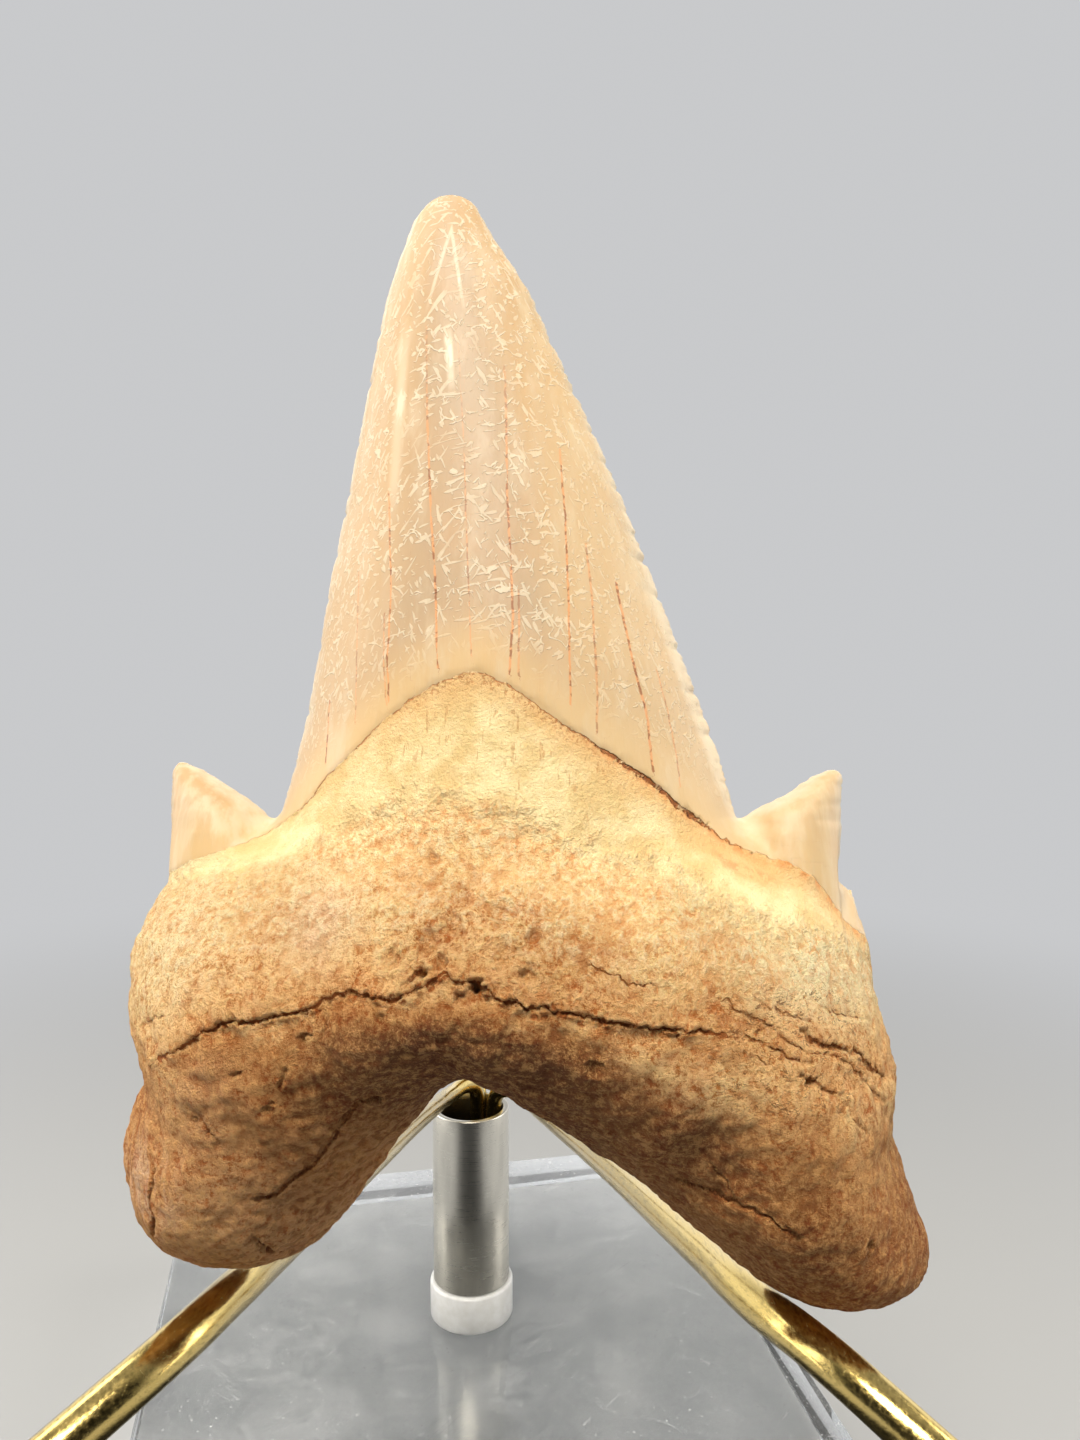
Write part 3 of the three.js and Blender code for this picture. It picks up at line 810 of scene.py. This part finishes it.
def crack_masks(b, f):
    """Cracks, crumbled spots beside them, pits, the enamel's seam and the crown's veins."""
    x, gap, ragged, broken = f.x, f.gap, f.ragged, f.broken

    def lines(kind, groups, wander, edge):
        return [(b.stored("%s_%d" % (kind, i)) + ragged * wander).size().between(edge, 0.5)
                for i in range(len(groups))]

    crumb = b.cells(f.here, 1.5)
    cuts = lines("crack", ROOT_CRACKS, 4, 1.5)
    width = 0.03 + broken.between(0.42, 0.62) * 0.085 + crumb.between(0.4, 0.15) * 0.06
    main = ((gap + ragged * 0.6).size() / width).between(1.5, 0.7)
    main = main * x.within(-20.2, -19, 12.5, 14.6) * broken.between(0.33, 0.43)
    holes = crumb.between(0.42, 0.22) * gap.near(-0.1, 0.65, 0.3) * broken.between(0.47, 0.55)
    c = SimpleNamespace(main=main.most(holes * x.within(-9, -6, 5, 10)))
    c.bold = x.within(4, 8, 11, 13.4) * broken.between(0.3, 0.55)
    seam = ((f.over + ragged * 0.35).size() / (0.03 + c.bold * 0.09)).between(1.6, 0.7)
    c.seam = seam * x.within(-13.5, -12, 13.5, 16) * broken.between(0.4, 0.52)
    c.all = cuts[0].most(cuts[1] * 0.85).most(cuts[2] * 0.7) * broken.between(0.38, 0.5)
    # small pits take the cracks' colour, as dirt and painted shade
    c.all = c.all.most(c.main).most(b.stored("hollow").between(0.35, 0.8) * 0.7)
    c.all = c.all.most(c.seam * (0.5 + c.bold * 0.5))
    veins = lines("vein", CROWN_CRACKS, 1.5, 1.4)
    c.vein = veins[0].most(veins[1] * 0.7) * f.enamel * f.z.between(60, 42, 0.35, 1.0)
    return c


def worm_marks(b, f, bare):
    """Pale worm-like scratches over the enamel, and fewer where it is bare of them."""
    patch = b.noise(f.here, 0.3, 2, 0.6, 0.5)
    worms = b.cells(b.warp(f.here, 0.8, 1.6), 0.62, "DISTANCE_TO_EDGE").between(0.045, 0.022)
    worms = worms * b.noise(f.here, 1.0, 1, 0.5).between(0.53, 0.57)
    for turn in (0.55, -0.5, 1.35):
        dashes = b.noise(b.leaning(f.here, turn, 6), 3.3, 1, 0.5).between(0.635, 0.665)
        worms = worms.most(dashes * 0.75)
    worms = worms * f.over.between(0.6, 5) * f.across.between(1.02, 0.93)
    return worms * patch.between(0.3, 0.55, 0.45, 1.0) * (1 - bare)


def enamel_colour(b, f, settings, vein):
    """Honey at the margins, a greyer glassy middle, warm at its foot; its scratches, painted highlight
    streaks and a painted rim highlight.
    """
    here, x, z, over, across, streak = f.here, f.x, f.z, f.over, f.across, f.streak
    cloud = b.noise(here, 0.16, 3, 0.55, 0.4)
    bloom = b.noise(b.stretch(here, (1, 1, 0.3)), 0.5, 4, 0.65).between(0.5, 0.72)
    leant = x + z * 0.11 - 2.6
    middle = (leant / (17.5 - z * 0.24)).size()
    flank = middle.between(1.15, 1.4)
    tip_line = (z - 65.2 + (x + 4.4).size() * 5).near(0, 0.8, 0.25) * z.between(58.5, 61)
    # painted highlight streaks on the left flank and right of the middle
    left_highlight = x.near(-7.1, 0.6, 0.1) * z.within(44, 48, 55, 60)
    white_streak = (x + z * 0.12).near(2.8, 0.35, 0.1) * z.within(52.5, 54, 56.5, 58)
    marks = tip_line.most(left_highlight * 0.7).most(white_streak) * bloom.between(0, 0.3, 0.5, 1.0)
    worms = worm_marks(b, f, left_highlight)
    rust_line = b.mix(b.noise(here, 2.0, 2, 0.6).between(0.48, 0.58),
                      (0.53, 0.245, 0.10), (0.22, 0.075, 0.027))
    # painted rim highlight along the crown's edges and where its surface turns sideways
    rim = across.within(0.93, 0.98, 1.04, 1.12) * over.between(0, 2)
    rim = rim.most(b.stored("edge") * over.between(0, 1.5))
    grey = b.mix(cloud.between(0.35, 0.65), (0.335, 0.24, 0.146), (0.365, 0.243, 0.137))
    shell = b.coats(
        settings.enamel,
        (streak.between(0.35, 0.7), (0.42, 0.30, 0.18)),
        (middle.between(0.9, 0.3) * over.between(0.5, 6) * z.between(73, 60) * 0.9, grey),
        (across.between(0.45, 0.9) * 0.6, (0.41, 0.272, 0.137)),
        (over.between(4.5, 0.4) * 0.5, (0.54, 0.37, 0.165)),
        (flank * streak.between(0.42, 0.62) * 0.5, (0.53, 0.43, 0.28)),
        (flank * cloud.between(0.45, 0.6) * 0.4, (0.44, 0.26, 0.105)),
        (bloom * 0.4, (0.50, 0.41, 0.29)),
        # the tip's pale line and the painted highlight streaks
        (marks * 0.7, PALE_MARK_AND_HIGHLIGHT),
        (worms * 0.45, PALE_MARK_AND_HIGHLIGHT),
        (leant.between(3, 7) * f.enamel * 0.35, (0.50, 0.375, 0.215)),
        (vein * 0.85, rust_line),
        (rim * 0.35, PALE_MARK_AND_HIGHLIGHT))
    return shell, worms


def band_colour(b, f):
    """The smooth band under the enamel, shaded warm where the enamel steps over it."""
    here, x, over, grit = f.here, f.x, f.over, f.grit
    scraps = f.broken.between(0.4, 0.55)
    dash = b.noise(b.stretch(here, (1, 1, 0.12)), 4.5, 2, 0.5).between(0.58, 0.66)
    dash = dash * b.noise(here, 0.9, 3, 0.6).between(0.46, 0.6) * x.size().between(9, 5)
    rusty = over.near(-1.3, 0.5, 0.05) * x.within(12, 14, 15, 18)
    flecks = over.between(-1.1, -0.1) * x.within(-8, -4, 4, 9) * grit.between(0.5, 0.4)
    return b.coats(
        (0.63, 0.445, 0.195),
        (b.noise(here, 0.42, 4, 0.6).between(0.35, 0.68), (0.76, 0.62, 0.335)),
        # painted shade: warm and darker just under the enamel's step, from the middle rightwards
        (over.between(-2.8, -0.1) * x.between(-14, -4) * 0.6, (0.62, 0.34, 0.125)),
        (grit.between(0.45, 0.3) * 0.5, (0.56, 0.31, 0.11)),
        (dash * 0.6, (0.46, 0.24, 0.085)),
        (over.between(-0.7, -0.1) * x.between(3, 7) * scraps * 0.7, (0.62, 0.25, 0.075)),
        (rusty * scraps * 0.6, (0.62, 0.22, 0.07)),
        (flecks * 0.8, (0.40, 0.17, 0.055)))


def lobe_colour(b, f, coarse):
    """The deeper stained bone of the arch and the lobes, with painted shade under the bulge."""
    x, z = f.x, f.z
    return b.coats(
        (0.45, 0.17, 0.042),
        (coarse.between(0.3, 0.7), (0.66, 0.31, 0.095)),
        # painted shade under the bulge: near black in its middle and dark below its right side
        (x.size().between(16, 3) * z.between(17.5, 14) * 0.9, (0.125, 0.033, 0.005)),
        (x.between(4, 17) * z.between(13, 7) * 0.6, (0.23, 0.08, 0.016)),
        *stains_and_light(f, LOBE_STAINS),
        (spot(f, -20.5, 4, 4.5) * f.streak.between(0.42, 0.6) * 0.6, (0.86, 0.62, 0.43)))


def root_colour(b, f, settings, brow):
    """Grainy bone, with painted highlight at the shoulders, darker towards the lobes in stains and painted
    shade.
    """
    here, x, z, under, gap, grit, fibre = f.here, f.x, f.z, f.under, f.gap, f.grit, f.fibre
    coarse = b.noise(here, 0.24, 4, 0.6, 0.4)
    low = gap + x.between(5, 13) * 2.5 + (coarse - 0.5) * 6 + (fibre - 0.5) * 2.5
    low = (low / (1 + x.between(2, 12) * 1.2)).between(0.5, -1.3)
    low = low.most(z.between(12, 10 - x.between(2, 12) * 7) * gap.between(9.5, 8.5))
    rust = b.noise(here, 0.8, 4, 0.7, 1.0).between(0.52, 0.64)
    bone = b.coats(
        settings.bone,
        (coarse.between(0.35, 0.65), (0.95, 0.65, 0.29)),
        (b.noise(here, 0.6, 3, 0.6).between(0.5, 0.64) * 0.5, (0.84, 0.47, 0.22)),
        *stains_and_light(f, ROOT_STAINS_AND_HIGHLIGHTS),
        (under.between(-6, 0) * x.size().between(17, 12) * 0.6, (0.95, 0.70, 0.34)),
        # painted shade: warm brown in the wide pits' basins
        (b.stored("shaded_basin") * 0.6, (0.66, 0.29, 0.085)),
        (low * 0.95, lobe_colour(b, f, coarse)),
        (gap.near(0, 2.4, 0.3) * 0.6, (0.70, 0.33, 0.105)),
        (spot(f, 18, 12, 6.5) * 0.55, (0.80, 0.45, 0.17)),
        (rust * (0.45 - low * 0.3), (0.66, 0.25, 0.07)))
    pale = b.mix(gap.between(5, 0.8), (1.0, 0.86, 0.52), (0.95, 0.60, 0.27))
    pale_lit_bone = b.mix(0.6, bone, b.mix(low, pale, (0.78, 0.42, 0.15)))
    dark_shaded_bone = b.mix(1.0, bone, (0.62, 0.33, 0.14), "MULTIPLY")
    dark_shaded_bone = b.mix(under.between(-5.5, -2.5) * 0.7, dark_shaded_bone, (0.84, 0.38, 0.125))
    calm = b.noise(here, 0.33, 3, 0.5).between(0.4, 0.58, 0.5, 1.0) * (1 - spot(f, -9.5, 20.5, 4.5) * 0.6)
    calm = calm * (1 - brow * 0.35)
    crackle = b.noise(b.stretch(here, (0.7, 1, 1.6)), 1.0, 3, 0.6, 0.8).near(0.5, 0.02, 0.006)
    crackle = crackle * spot(f, 17, 13.5, 7).between(0.1, 0.5) * f.broken.between(0.4, 0.55)
    redden = under.near(-1, 2, 0.3) * fibre.between(0.5, 0.42) * x.size().between(13, 6)
    return b.coats(
        bone,
        # grain: real mottle, lighter where the bump rises and darker where it sinks or the mesh's grain is
        # low, as painted highlight and shade
        (fibre.between(0.5, 0.59) * 0.85, pale_lit_bone),
        (fibre.between(0.49, 0.39) * calm * 0.9, dark_shaded_bone),
        (grit.between(0.46, 0.36) * calm * 0.7, dark_shaded_bone),
        (grit.between(0.54, 0.64) * 0.6, pale_lit_bone),
        (b.stored("tint").between(0.42, 0.1) * 0.4, dark_shaded_bone),
        (crackle * 0.75, (0.20, 0.08, 0.025)),
        (redden * 0.55, (0.80, 0.33, 0.11)))


def tooth_finish(settings):
    """Glossy, scratched enamel over a porous root, in one material with the mesh's measures."""
    b = material_board("fossil")
    f = tooth_fields(b)
    x, z, enamel, band, grit = f.x, f.z, f.enamel, f.band, f.grit
    cracks = crack_masks(b, f)
    shell, worms = enamel_colour(b, f, settings, cracks.vein)
    brow = f.under.within(-6, -2, -1, 0.5) * x.size().between(12, 8)
    # ribs that cross the left lobe's inner edge
    ribs = b.noise(b.leaning(f.here, RIB_TURN, 9), 1.7, 2, 0.5)
    inside = (z + 1.5) * 0.63 - (x + 13.5) * 0.77
    ribbed = inside.between(5.5, 2.5) * x.between(-1, -4) * z.between(10.5, 8)
    # colour of the cracks, also painted shade in the small pits
    grime_and_pit_shade = b.mix(grit.between(0.38, 0.62), (0.17, 0.045, 0.008), (0.42, 0.155, 0.04))
    seam_dirt = b.mix(cracks.bold, (0.50, 0.20, 0.065), (0.24, 0.075, 0.02))
    skin = b.coats(
        root_colour(b, f, settings, brow),
        (band, band_colour(b, f)),
        (enamel, shell),
        # painted shade in the ribs' troughs and painted highlight on their crests
        (ribbed * ribs.between(0.5, 0.4) * 0.4, (0.22, 0.08, 0.02)),
        (ribbed * ribs.between(0.5, 0.6) * 0.5, (0.62, 0.32, 0.13)),
        (cracks.all, grime_and_pit_shade),
        (cracks.main * 0.85, (0.36, 0.10, 0.018)),
        (cracks.seam * 0.7, seam_dirt))
    rough = b.blend(enamel, b.blend(band, 0.9, 0.65), 0.48)
    rough = b.blend(worms * 0.6, rough, 0.7)
    rough = b.blend(f.streak.between(0.4, 0.7) * 0.3, rough, 0.55)
    height = (1 - enamel) * (f.fibre + grit * 0.7) * (1 - band * 0.75) * (1 - brow * 0.35)
    height = height + ribbed * ribs * 1.5 + enamel * (worms * 0.04 + f.streak * 0.07) - cracks.all * 0.3
    shader = b.surface(Base_Color=skin, Roughness=rough, Normal=b.relief(height, 0.85 * MM),
                       Subsurface_Weight=0.1, Subsurface_Radius=(1.0, 0.5, 0.25),
                       Subsurface_Scale=0.8 * MM, Specular_IOR_Level=0.22, IOR=1.5)
    return b.finish(Surface=shader)


def brass_finish(settings):
    """Drawn brass rod with fine lengthwise scratches and tiny pits."""
    b = material_board("polished_brass")
    here = b.millimetres()
    marks = b.noise(b.stretch(b.millimetres((ARM_SLOPE, 0, 0)), (1, 0.05, 1)), 4.5, 4, 0.7)
    pits = b.cells(here, 1.7).between(0.1, 0.04) * b.noise(here, 0.4, 2).between(0.52, 0.6)
    colour = b.coats(
        settings.brass,
        (b.noise(here, 0.25, 3, 0.6).between(0.35, 0.7), (0.62, 0.45, 0.14)),
        (marks.between(0.52, 0.34) * 0.5, (0.34, 0.24, 0.075)),
        (pits * 0.6, (0.20, 0.13, 0.05)))
    return b.finish(Surface=b.surface(
        Base_Color=colour, Metallic=1.0, Roughness=marks.between(0.35, 0.7, 0.14, 0.28),
        Normal=b.relief(marks, 0.012 * MM, 0.6)))


def steel_finish(settings):
    """Satin steel tube, brushed round its axis, with painted shade inside its mouth."""
    b = material_board("satin_steel")
    here = b.millimetres()
    rings = b.noise(b.stretch(here, (0.04, 0.04, 1)), 6.0, 3, 0.6)
    smear = b.noise(b.stretch(here, (1, 1, 0.15)), 0.4, 3, 0.6)
    # painted shade: dark inside the tube's mouth
    bore_shade = b.from_axis(here).between(5.9, 5.7) * b.axis(here, 2).between(54.9, 54)
    colour = b.coats(
        settings.steel,
        (smear.between(0.35, 0.7), (0.53, 0.50, 0.43)),
        (bore_shade * 0.85, (0.06, 0.05, 0.035)))
    return b.finish(Surface=b.surface(
        Base_Color=colour, Metallic=1.0, Roughness=rings.between(0.3, 0.7, 0.27, 0.31),
        Anisotropic=0.75, Normal=b.relief(rings, 0.002 * MM, 0.15)))


def ferrule_finish():
    """Whitish translucent plastic."""
    b = material_board("frosted_plastic")
    here = b.millimetres()
    haze = b.noise(here, 0.6, 3, 0.6).between(0.3, 0.7)
    return b.finish(Surface=b.surface(
        Base_Color=b.mix(haze, (0.82, 0.81, 0.77), (0.92, 0.915, 0.89)), Roughness=0.3, IOR=ACRYLIC_IOR,
        Normal=b.relief(b.noise(here, 3.0, 2, 0.6), 0.02 * MM, 0.4), Transmission_Weight=0.35,
        Subsurface_Weight=0.5, Subsurface_Radius=(1, 1, 1), Subsurface_Scale=2 * MM))


def acrylic_finish():
    """Clear acrylic with fine scratches and dust on its faces."""
    b = material_board("clear_acrylic")
    here = b.millimetres()

    def scratches(turn, thin, scale, patches):
        lines = b.noise(b.stretch(b.millimetres((0, 0, turn)), (thin, 1, 1)), scale, 2, 0.5, 0.3)
        return lines.near(0.5, 0.006, 0.001) * patches

    scratch = scratches(0.6, 0.06, 1.3, b.noise(here, 0.12, 2).between(0.52, 0.6))
    scratch = scratch.most(scratches(-0.9, 0.05, 1.1, b.noise(here, 0.1, 2).between(0.48, 0.4)))
    specks = b.cells(here, 0.7).between(0.16, 0.06) * b.noise(here, 0.05, 2, 0.5, 0.3).between(0.3, 0.6)
    haze = b.noise(here, 0.07, 5, 0.6).between(0.4, 0.75)
    marks = (scratch * 0.4).most(specks * 0.6).most(haze * 0.1 + 0.02)
    clear = b.surface(Base_Color=(0.972, 0.982, 0.98), Roughness=0.02, IOR=ACRYLIC_IOR,
                      Transmission_Weight=1.0)
    dust = b.surface(Base_Color=(0.86, 0.86, 0.85), Roughness=0.7)
    tint = b.add("ShaderNodeVolumeAbsorption", {}, {"Color": (0.86, 0.93, 0.91), "Density": 2.0})
    return b.finish(Surface=b.either(marks, clear, dust), Volume=tint)


# ---------------------------------------------------------------- the stand's shapes
def put(name, mesh, material, node, hard_edges=None):
    """Adds a finished piece that stands for its CAD node, sharp at edges over that many degrees."""
    piece = bpy.data.objects.new(name, mesh)
    bpy.context.scene.collection.objects.link(piece)
    mesh.materials.clear()
    mesh.materials.append(material)
    for face in mesh.polygons:
        face.use_smooth = True
    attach(piece, BODY)
    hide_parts(node)
    if hard_edges:
        with edited(mesh) as work:
            for edge in work.edges:
                edge.smooth = edge.calc_face_angle(0) < math.radians(hard_edges)


def turned(outline, name):
    """A closed turned piece from its half outline: radius, height, in millimetres."""
    mesh = bpy.data.meshes.new(name)
    with edited(mesh) as work:
        corners = [work.verts.new((r * MM, 0, z * MM)) for r, z in outline]
        edges = [work.edges.new(pair) for pair in zip(corners[:-1], corners[1:])]
        bmesh.ops.spin(work, geom=corners + edges, cent=(0, 0, 0), axis=(0, 0, 1),
                       angle=2 * math.pi, steps=TURNED_STEPS, use_merge=True)
        bmesh.ops.remove_doubles(work, verts=work.verts, dist=SAME_POINT)
        bmesh.ops.recalc_face_normals(work, faces=work.faces)
    return mesh


def rod(route, diameter, name):
    """A round rod along a route in millimetres, with rounded ends."""
    curve = bpy.data.curves.new(name, "CURVE")
    curve.dimensions = "3D"
    curve.bevel_depth = diameter / 2
    curve.bevel_resolution = 6
    curve.resolution_u = 14
    curve.use_fill_caps = True
    spline = curve.splines.new("BEZIER")
    spline.bezier_points.add(len(route) - 1)
    for point, place in zip(spline.bezier_points, route):
        point.co = Vector(place) * MM
        point.handle_left_type = point.handle_right_type = "AUTO"
    mesh = evaluated(curve)
    mesh.name = name
    with edited(mesh) as work:
        bmesh.ops.remove_doubles(work, verts=work.verts, dist=SAME_POINT)
        rims = [edge for face in work.faces if len(face.verts) > 4 for edge in face.edges]
        bmesh.ops.bevel(work, geom=rims, offset=ROD_END * MM, segments=4, profile=0.5, affect="EDGES",
                        material=-1)
        bmesh.ops.recalc_face_normals(work, faces=work.faces)
    return mesh


def block_mesh(edge):
    """The clear block with rounded edges, in the place of its CAD node."""
    turn = Matrix.Rotation(BLOCK_TURN, 4, "Z")
    points = np.array([turn.inverted() @ v.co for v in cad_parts["base_block"].data.vertices])
    low, high = Vector(points.min(axis=0)), Vector(points.max(axis=0))
    mesh = bpy.data.meshes.new("base_block_shape")
    with edited(mesh) as work:
        bmesh.ops.create_cube(work, size=1.0, matrix=turn @ Matrix.Translation((low + high) / 2)
                              @ Matrix.Diagonal((*(high - low), 1)))
        bmesh.ops.bevel(work, geom=work.edges[:], offset=edge, segments=3, profile=0.5, affect="EDGES",
                        material=-1)
    return mesh


def reach_of(node):
    """A round node's radius, foot and top, in millimetres."""
    low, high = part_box(node)
    return high.x / MM, low.z / MM, high.z / MM


def tube_outline():
    outer, bottom, top = reach_of("post_tube")
    inner = outer - TUBE_WALL
    lip, turn = TUBE_LIP, TUBE_LIP * 0.3
    return [(inner, bottom), (outer, bottom), (outer, top - lip), (outer - turn, top - turn),
            (outer - lip, top), (inner + lip, top), (inner + turn, top - turn), (inner, top - lip),
            (inner, bottom)]


def ferrule_outline():
    outer, bottom, top = reach_of("post_ferrule")
    shoulder = top - PLUG_HEIGHT
    edge, turn = 0.4, 0.12
    return [(0, bottom), (outer - edge, bottom), (outer - turn, bottom + turn), (outer, bottom + edge),
            (outer, shoulder - edge), (outer - turn, shoulder - turn), (outer - edge, shoulder),
            (PLUG_RADIUS, shoulder), (PLUG_RADIUS, top), (0, top)]


# ---------------------------------------------------------------- the studio
def soft_light(name, place, size, power, colour):
    """A rectangular lamp that shines at the tooth and isn't seen through the clear block."""
    lamp = bpy.data.lights.new(name, "AREA")
    lamp.shape = "RECTANGLE"
    lamp.size, lamp.size_y = size
    lamp.energy = power
    lamp.color = colour
    holder = bpy.data.objects.new(name, lamp)
    holder.location = place
    holder.visible_transmission = False
    holder.rotation_euler = (Vector(TOOTH_MIDDLE) - Vector(place)).to_track_quat("-Z", "Y").to_euler()
    bpy.context.scene.collection.objects.link(holder)


def studio_floor(settings):
    """A wide round floor that fades into the pale room at its rim."""
    mesh = bpy.data.meshes.new("floor_shape")
    with edited(mesh) as work:
        bmesh.ops.create_circle(work, cap_ends=True, segments=96, radius=FLOOR_RADIUS,
                                matrix=Matrix.Translation((0, 0, FLOOR_HEIGHT * MM)))
    b = material_board("floor")
    here = b.place()
    plain = b.surface(Base_Color=settings.floor, Roughness=0.6)
    pale = b.either(b.from_axis(here).between(0.08, 0.4), plain, b.glow(ROOM_COLOUR, ROOM_GLOW))
    # metal sees it dark in front of the post and bright beside it
    beside = b.axis(here, 0).size() + b.axis(here, 1) * 0.6
    mirrored = b.glow(ROOM_COLOUR, beside.between(-0.01, 0.06, 0.035, 0.8))
    deep = b.ray("Ray Depth").between(2.4, 2.6, 0.0, 0.6)
    seen = (b.ray("Is Glossy Ray") * (1 - b.ray("Is Transmission Ray"))).most(deep)
    mesh.materials.append(b.finish(Surface=b.either(seen, pale, mirrored)))
    floor = bpy.data.objects.new("floor", mesh)
    bpy.context.scene.collection.objects.link(floor)


def studio_air():
    """A pale room that metal sees with a darker front and bright sides."""
    b = Board(bpy.data.worlds.new("studio"))
    where = b.add("ShaderNodeTexCoord", out="Generated")
    around = b.axis(where, 1).between(-0.35, 0.1, 0.04, 1.5) * b.axis(where, 2).between(0.55, 0.2, 0.3)
    through = b.ray("Is Transmission Ray")
    metal = (b.ray("Is Glossy Ray") - through).most(0)
    glow = b.blend(b.ray("Is Camera Ray").most(through), b.blend(metal, AMBIENT_GLOW, around), ROOM_GLOW)
    bpy.context.scene.world = b.finish("World", Surface=b.glow(ROOM_COLOUR, glow, "Background"))


def studio_camera(scene):
    lens = bpy.data.cameras.new("camera")
    lens.sensor_fit = "VERTICAL"
    lens.sensor_height = SENSOR_HEIGHT
    lens.lens = FOCAL_LENGTH
    lens.clip_start, lens.clip_end = CLIP
    camera = bpy.data.objects.new("camera", lens)
    camera.location = Vector(CAMERA_PLACE) * MM
    camera.rotation_euler = (CAMERA_TILT, 0, 0)
    scene.collection.objects.link(camera)
    scene.camera = camera


# ---------------------------------------------------------------- operators
class FOSSIL_OT_tooth(bpy.types.Operator):
    """Adds the fossil tooth with its cracks, pits and enamel"""
    bl_idname = "fossil.tooth"
    bl_label = "Tooth"

    def execute(self, context):
        settings = context.scene.fossil_tooth
        put("tooth", tooth_mesh(settings), tooth_finish(settings), "shark_tooth")
        return {"FINISHED"}


class FOSSIL_OT_arms(bpy.types.Operator):
    """Adds the three bent brass arms"""
    bl_idname = "fossil.arms"
    bl_label = "Brass arms"

    def execute(self, context):
        settings = context.scene.fossil_stand
        brass = brass_finish(settings)
        for node, route in ARM_ROUTES.items():
            mesh = rod(route, settings.rod_diameter, node + "_shape")
            put(node.replace("arm", "rod"), mesh, brass, node, hard_edges=40)
        return {"FINISHED"}


class FOSSIL_OT_post(bpy.types.Operator):
    """Adds the steel post and the plastic ferrule at its foot"""
    bl_idname = "fossil.post"
    bl_label = "Post and ferrule"

    def execute(self, context):
        steel = steel_finish(context.scene.fossil_stand)
        put("post", turned(tube_outline(), "post_shape"), steel, "post_tube",
            hard_edges=50)
        put("ferrule", turned(ferrule_outline(), "ferrule_shape"), ferrule_finish(),
            "post_ferrule", hard_edges=50)
        return {"FINISHED"}


class FOSSIL_OT_block(bpy.types.Operator):
    """Adds the clear acrylic block"""
    bl_idname = "fossil.block"
    bl_label = "Clear block"

    def execute(self, context):
        mesh = block_mesh(context.scene.fossil_stand.block_edge)
        put("block", mesh, acrylic_finish(), "base_block", hard_edges=25)
        return {"FINISHED"}


class FOSSIL_OT_stage(bpy.types.Operator):
    """Adds the floor, the lights and the camera"""
    bl_idname = "fossil.stage"
    bl_label = "Studio"

    def execute(self, context):
        settings = context.scene.fossil_studio
        studio_floor(settings)
        studio_air()
        for name, place, size, power, share, colour in LAMPS:
            soft_light(name, place, size, share * getattr(settings, power), colour)
        studio_camera(context.scene)
        context.scene.view_settings.view_transform = "Standard"
        return {"FINISHED"}


class FOSSIL_PT_panel(bpy.types.Panel):
    """Lists the pieces of the fossil and its stand"""
    bl_label = "Fossil tooth"
    bl_idname = "FOSSIL_PT_panel"
    bl_space_type = "VIEW_3D"
    bl_region_type = "UI"
    bl_category = "Fossil"

    def draw(self, context):
        for group in GROUPS:
            settings = getattr(context.scene, group)
            for name in settings.__annotations__:
                self.layout.prop(settings, name)
        for maker in MAKERS:
            self.layout.operator(maker.bl_idname)


MAKERS = [FOSSIL_OT_block, FOSSIL_OT_post, FOSSIL_OT_arms, FOSSIL_OT_tooth, FOSSIL_OT_stage]
GROUPS = {"fossil_tooth": ToothSettings, "fossil_stand": StandSettings, "fossil_studio": StudioSettings}


def register():
    for kind in [*GROUPS.values(), *MAKERS, FOSSIL_PT_panel]:
        bpy.utils.register_class(kind)
    for name, kind in GROUPS.items():
        setattr(bpy.types.Scene, name, bpy.props.PointerProperty(type=kind))


def unregister():
    for name in GROUPS:
        delattr(bpy.types.Scene, name)
    for kind in reversed([*GROUPS.values(), *MAKERS, FOSSIL_PT_panel]):
        bpy.utils.unregister_class(kind)


def main():
    register()
    for maker in MAKERS:
        part, name = maker.bl_idname.split(".")
        getattr(getattr(bpy.ops, part), name)()
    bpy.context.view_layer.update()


if __name__ == "__main__":
    main()
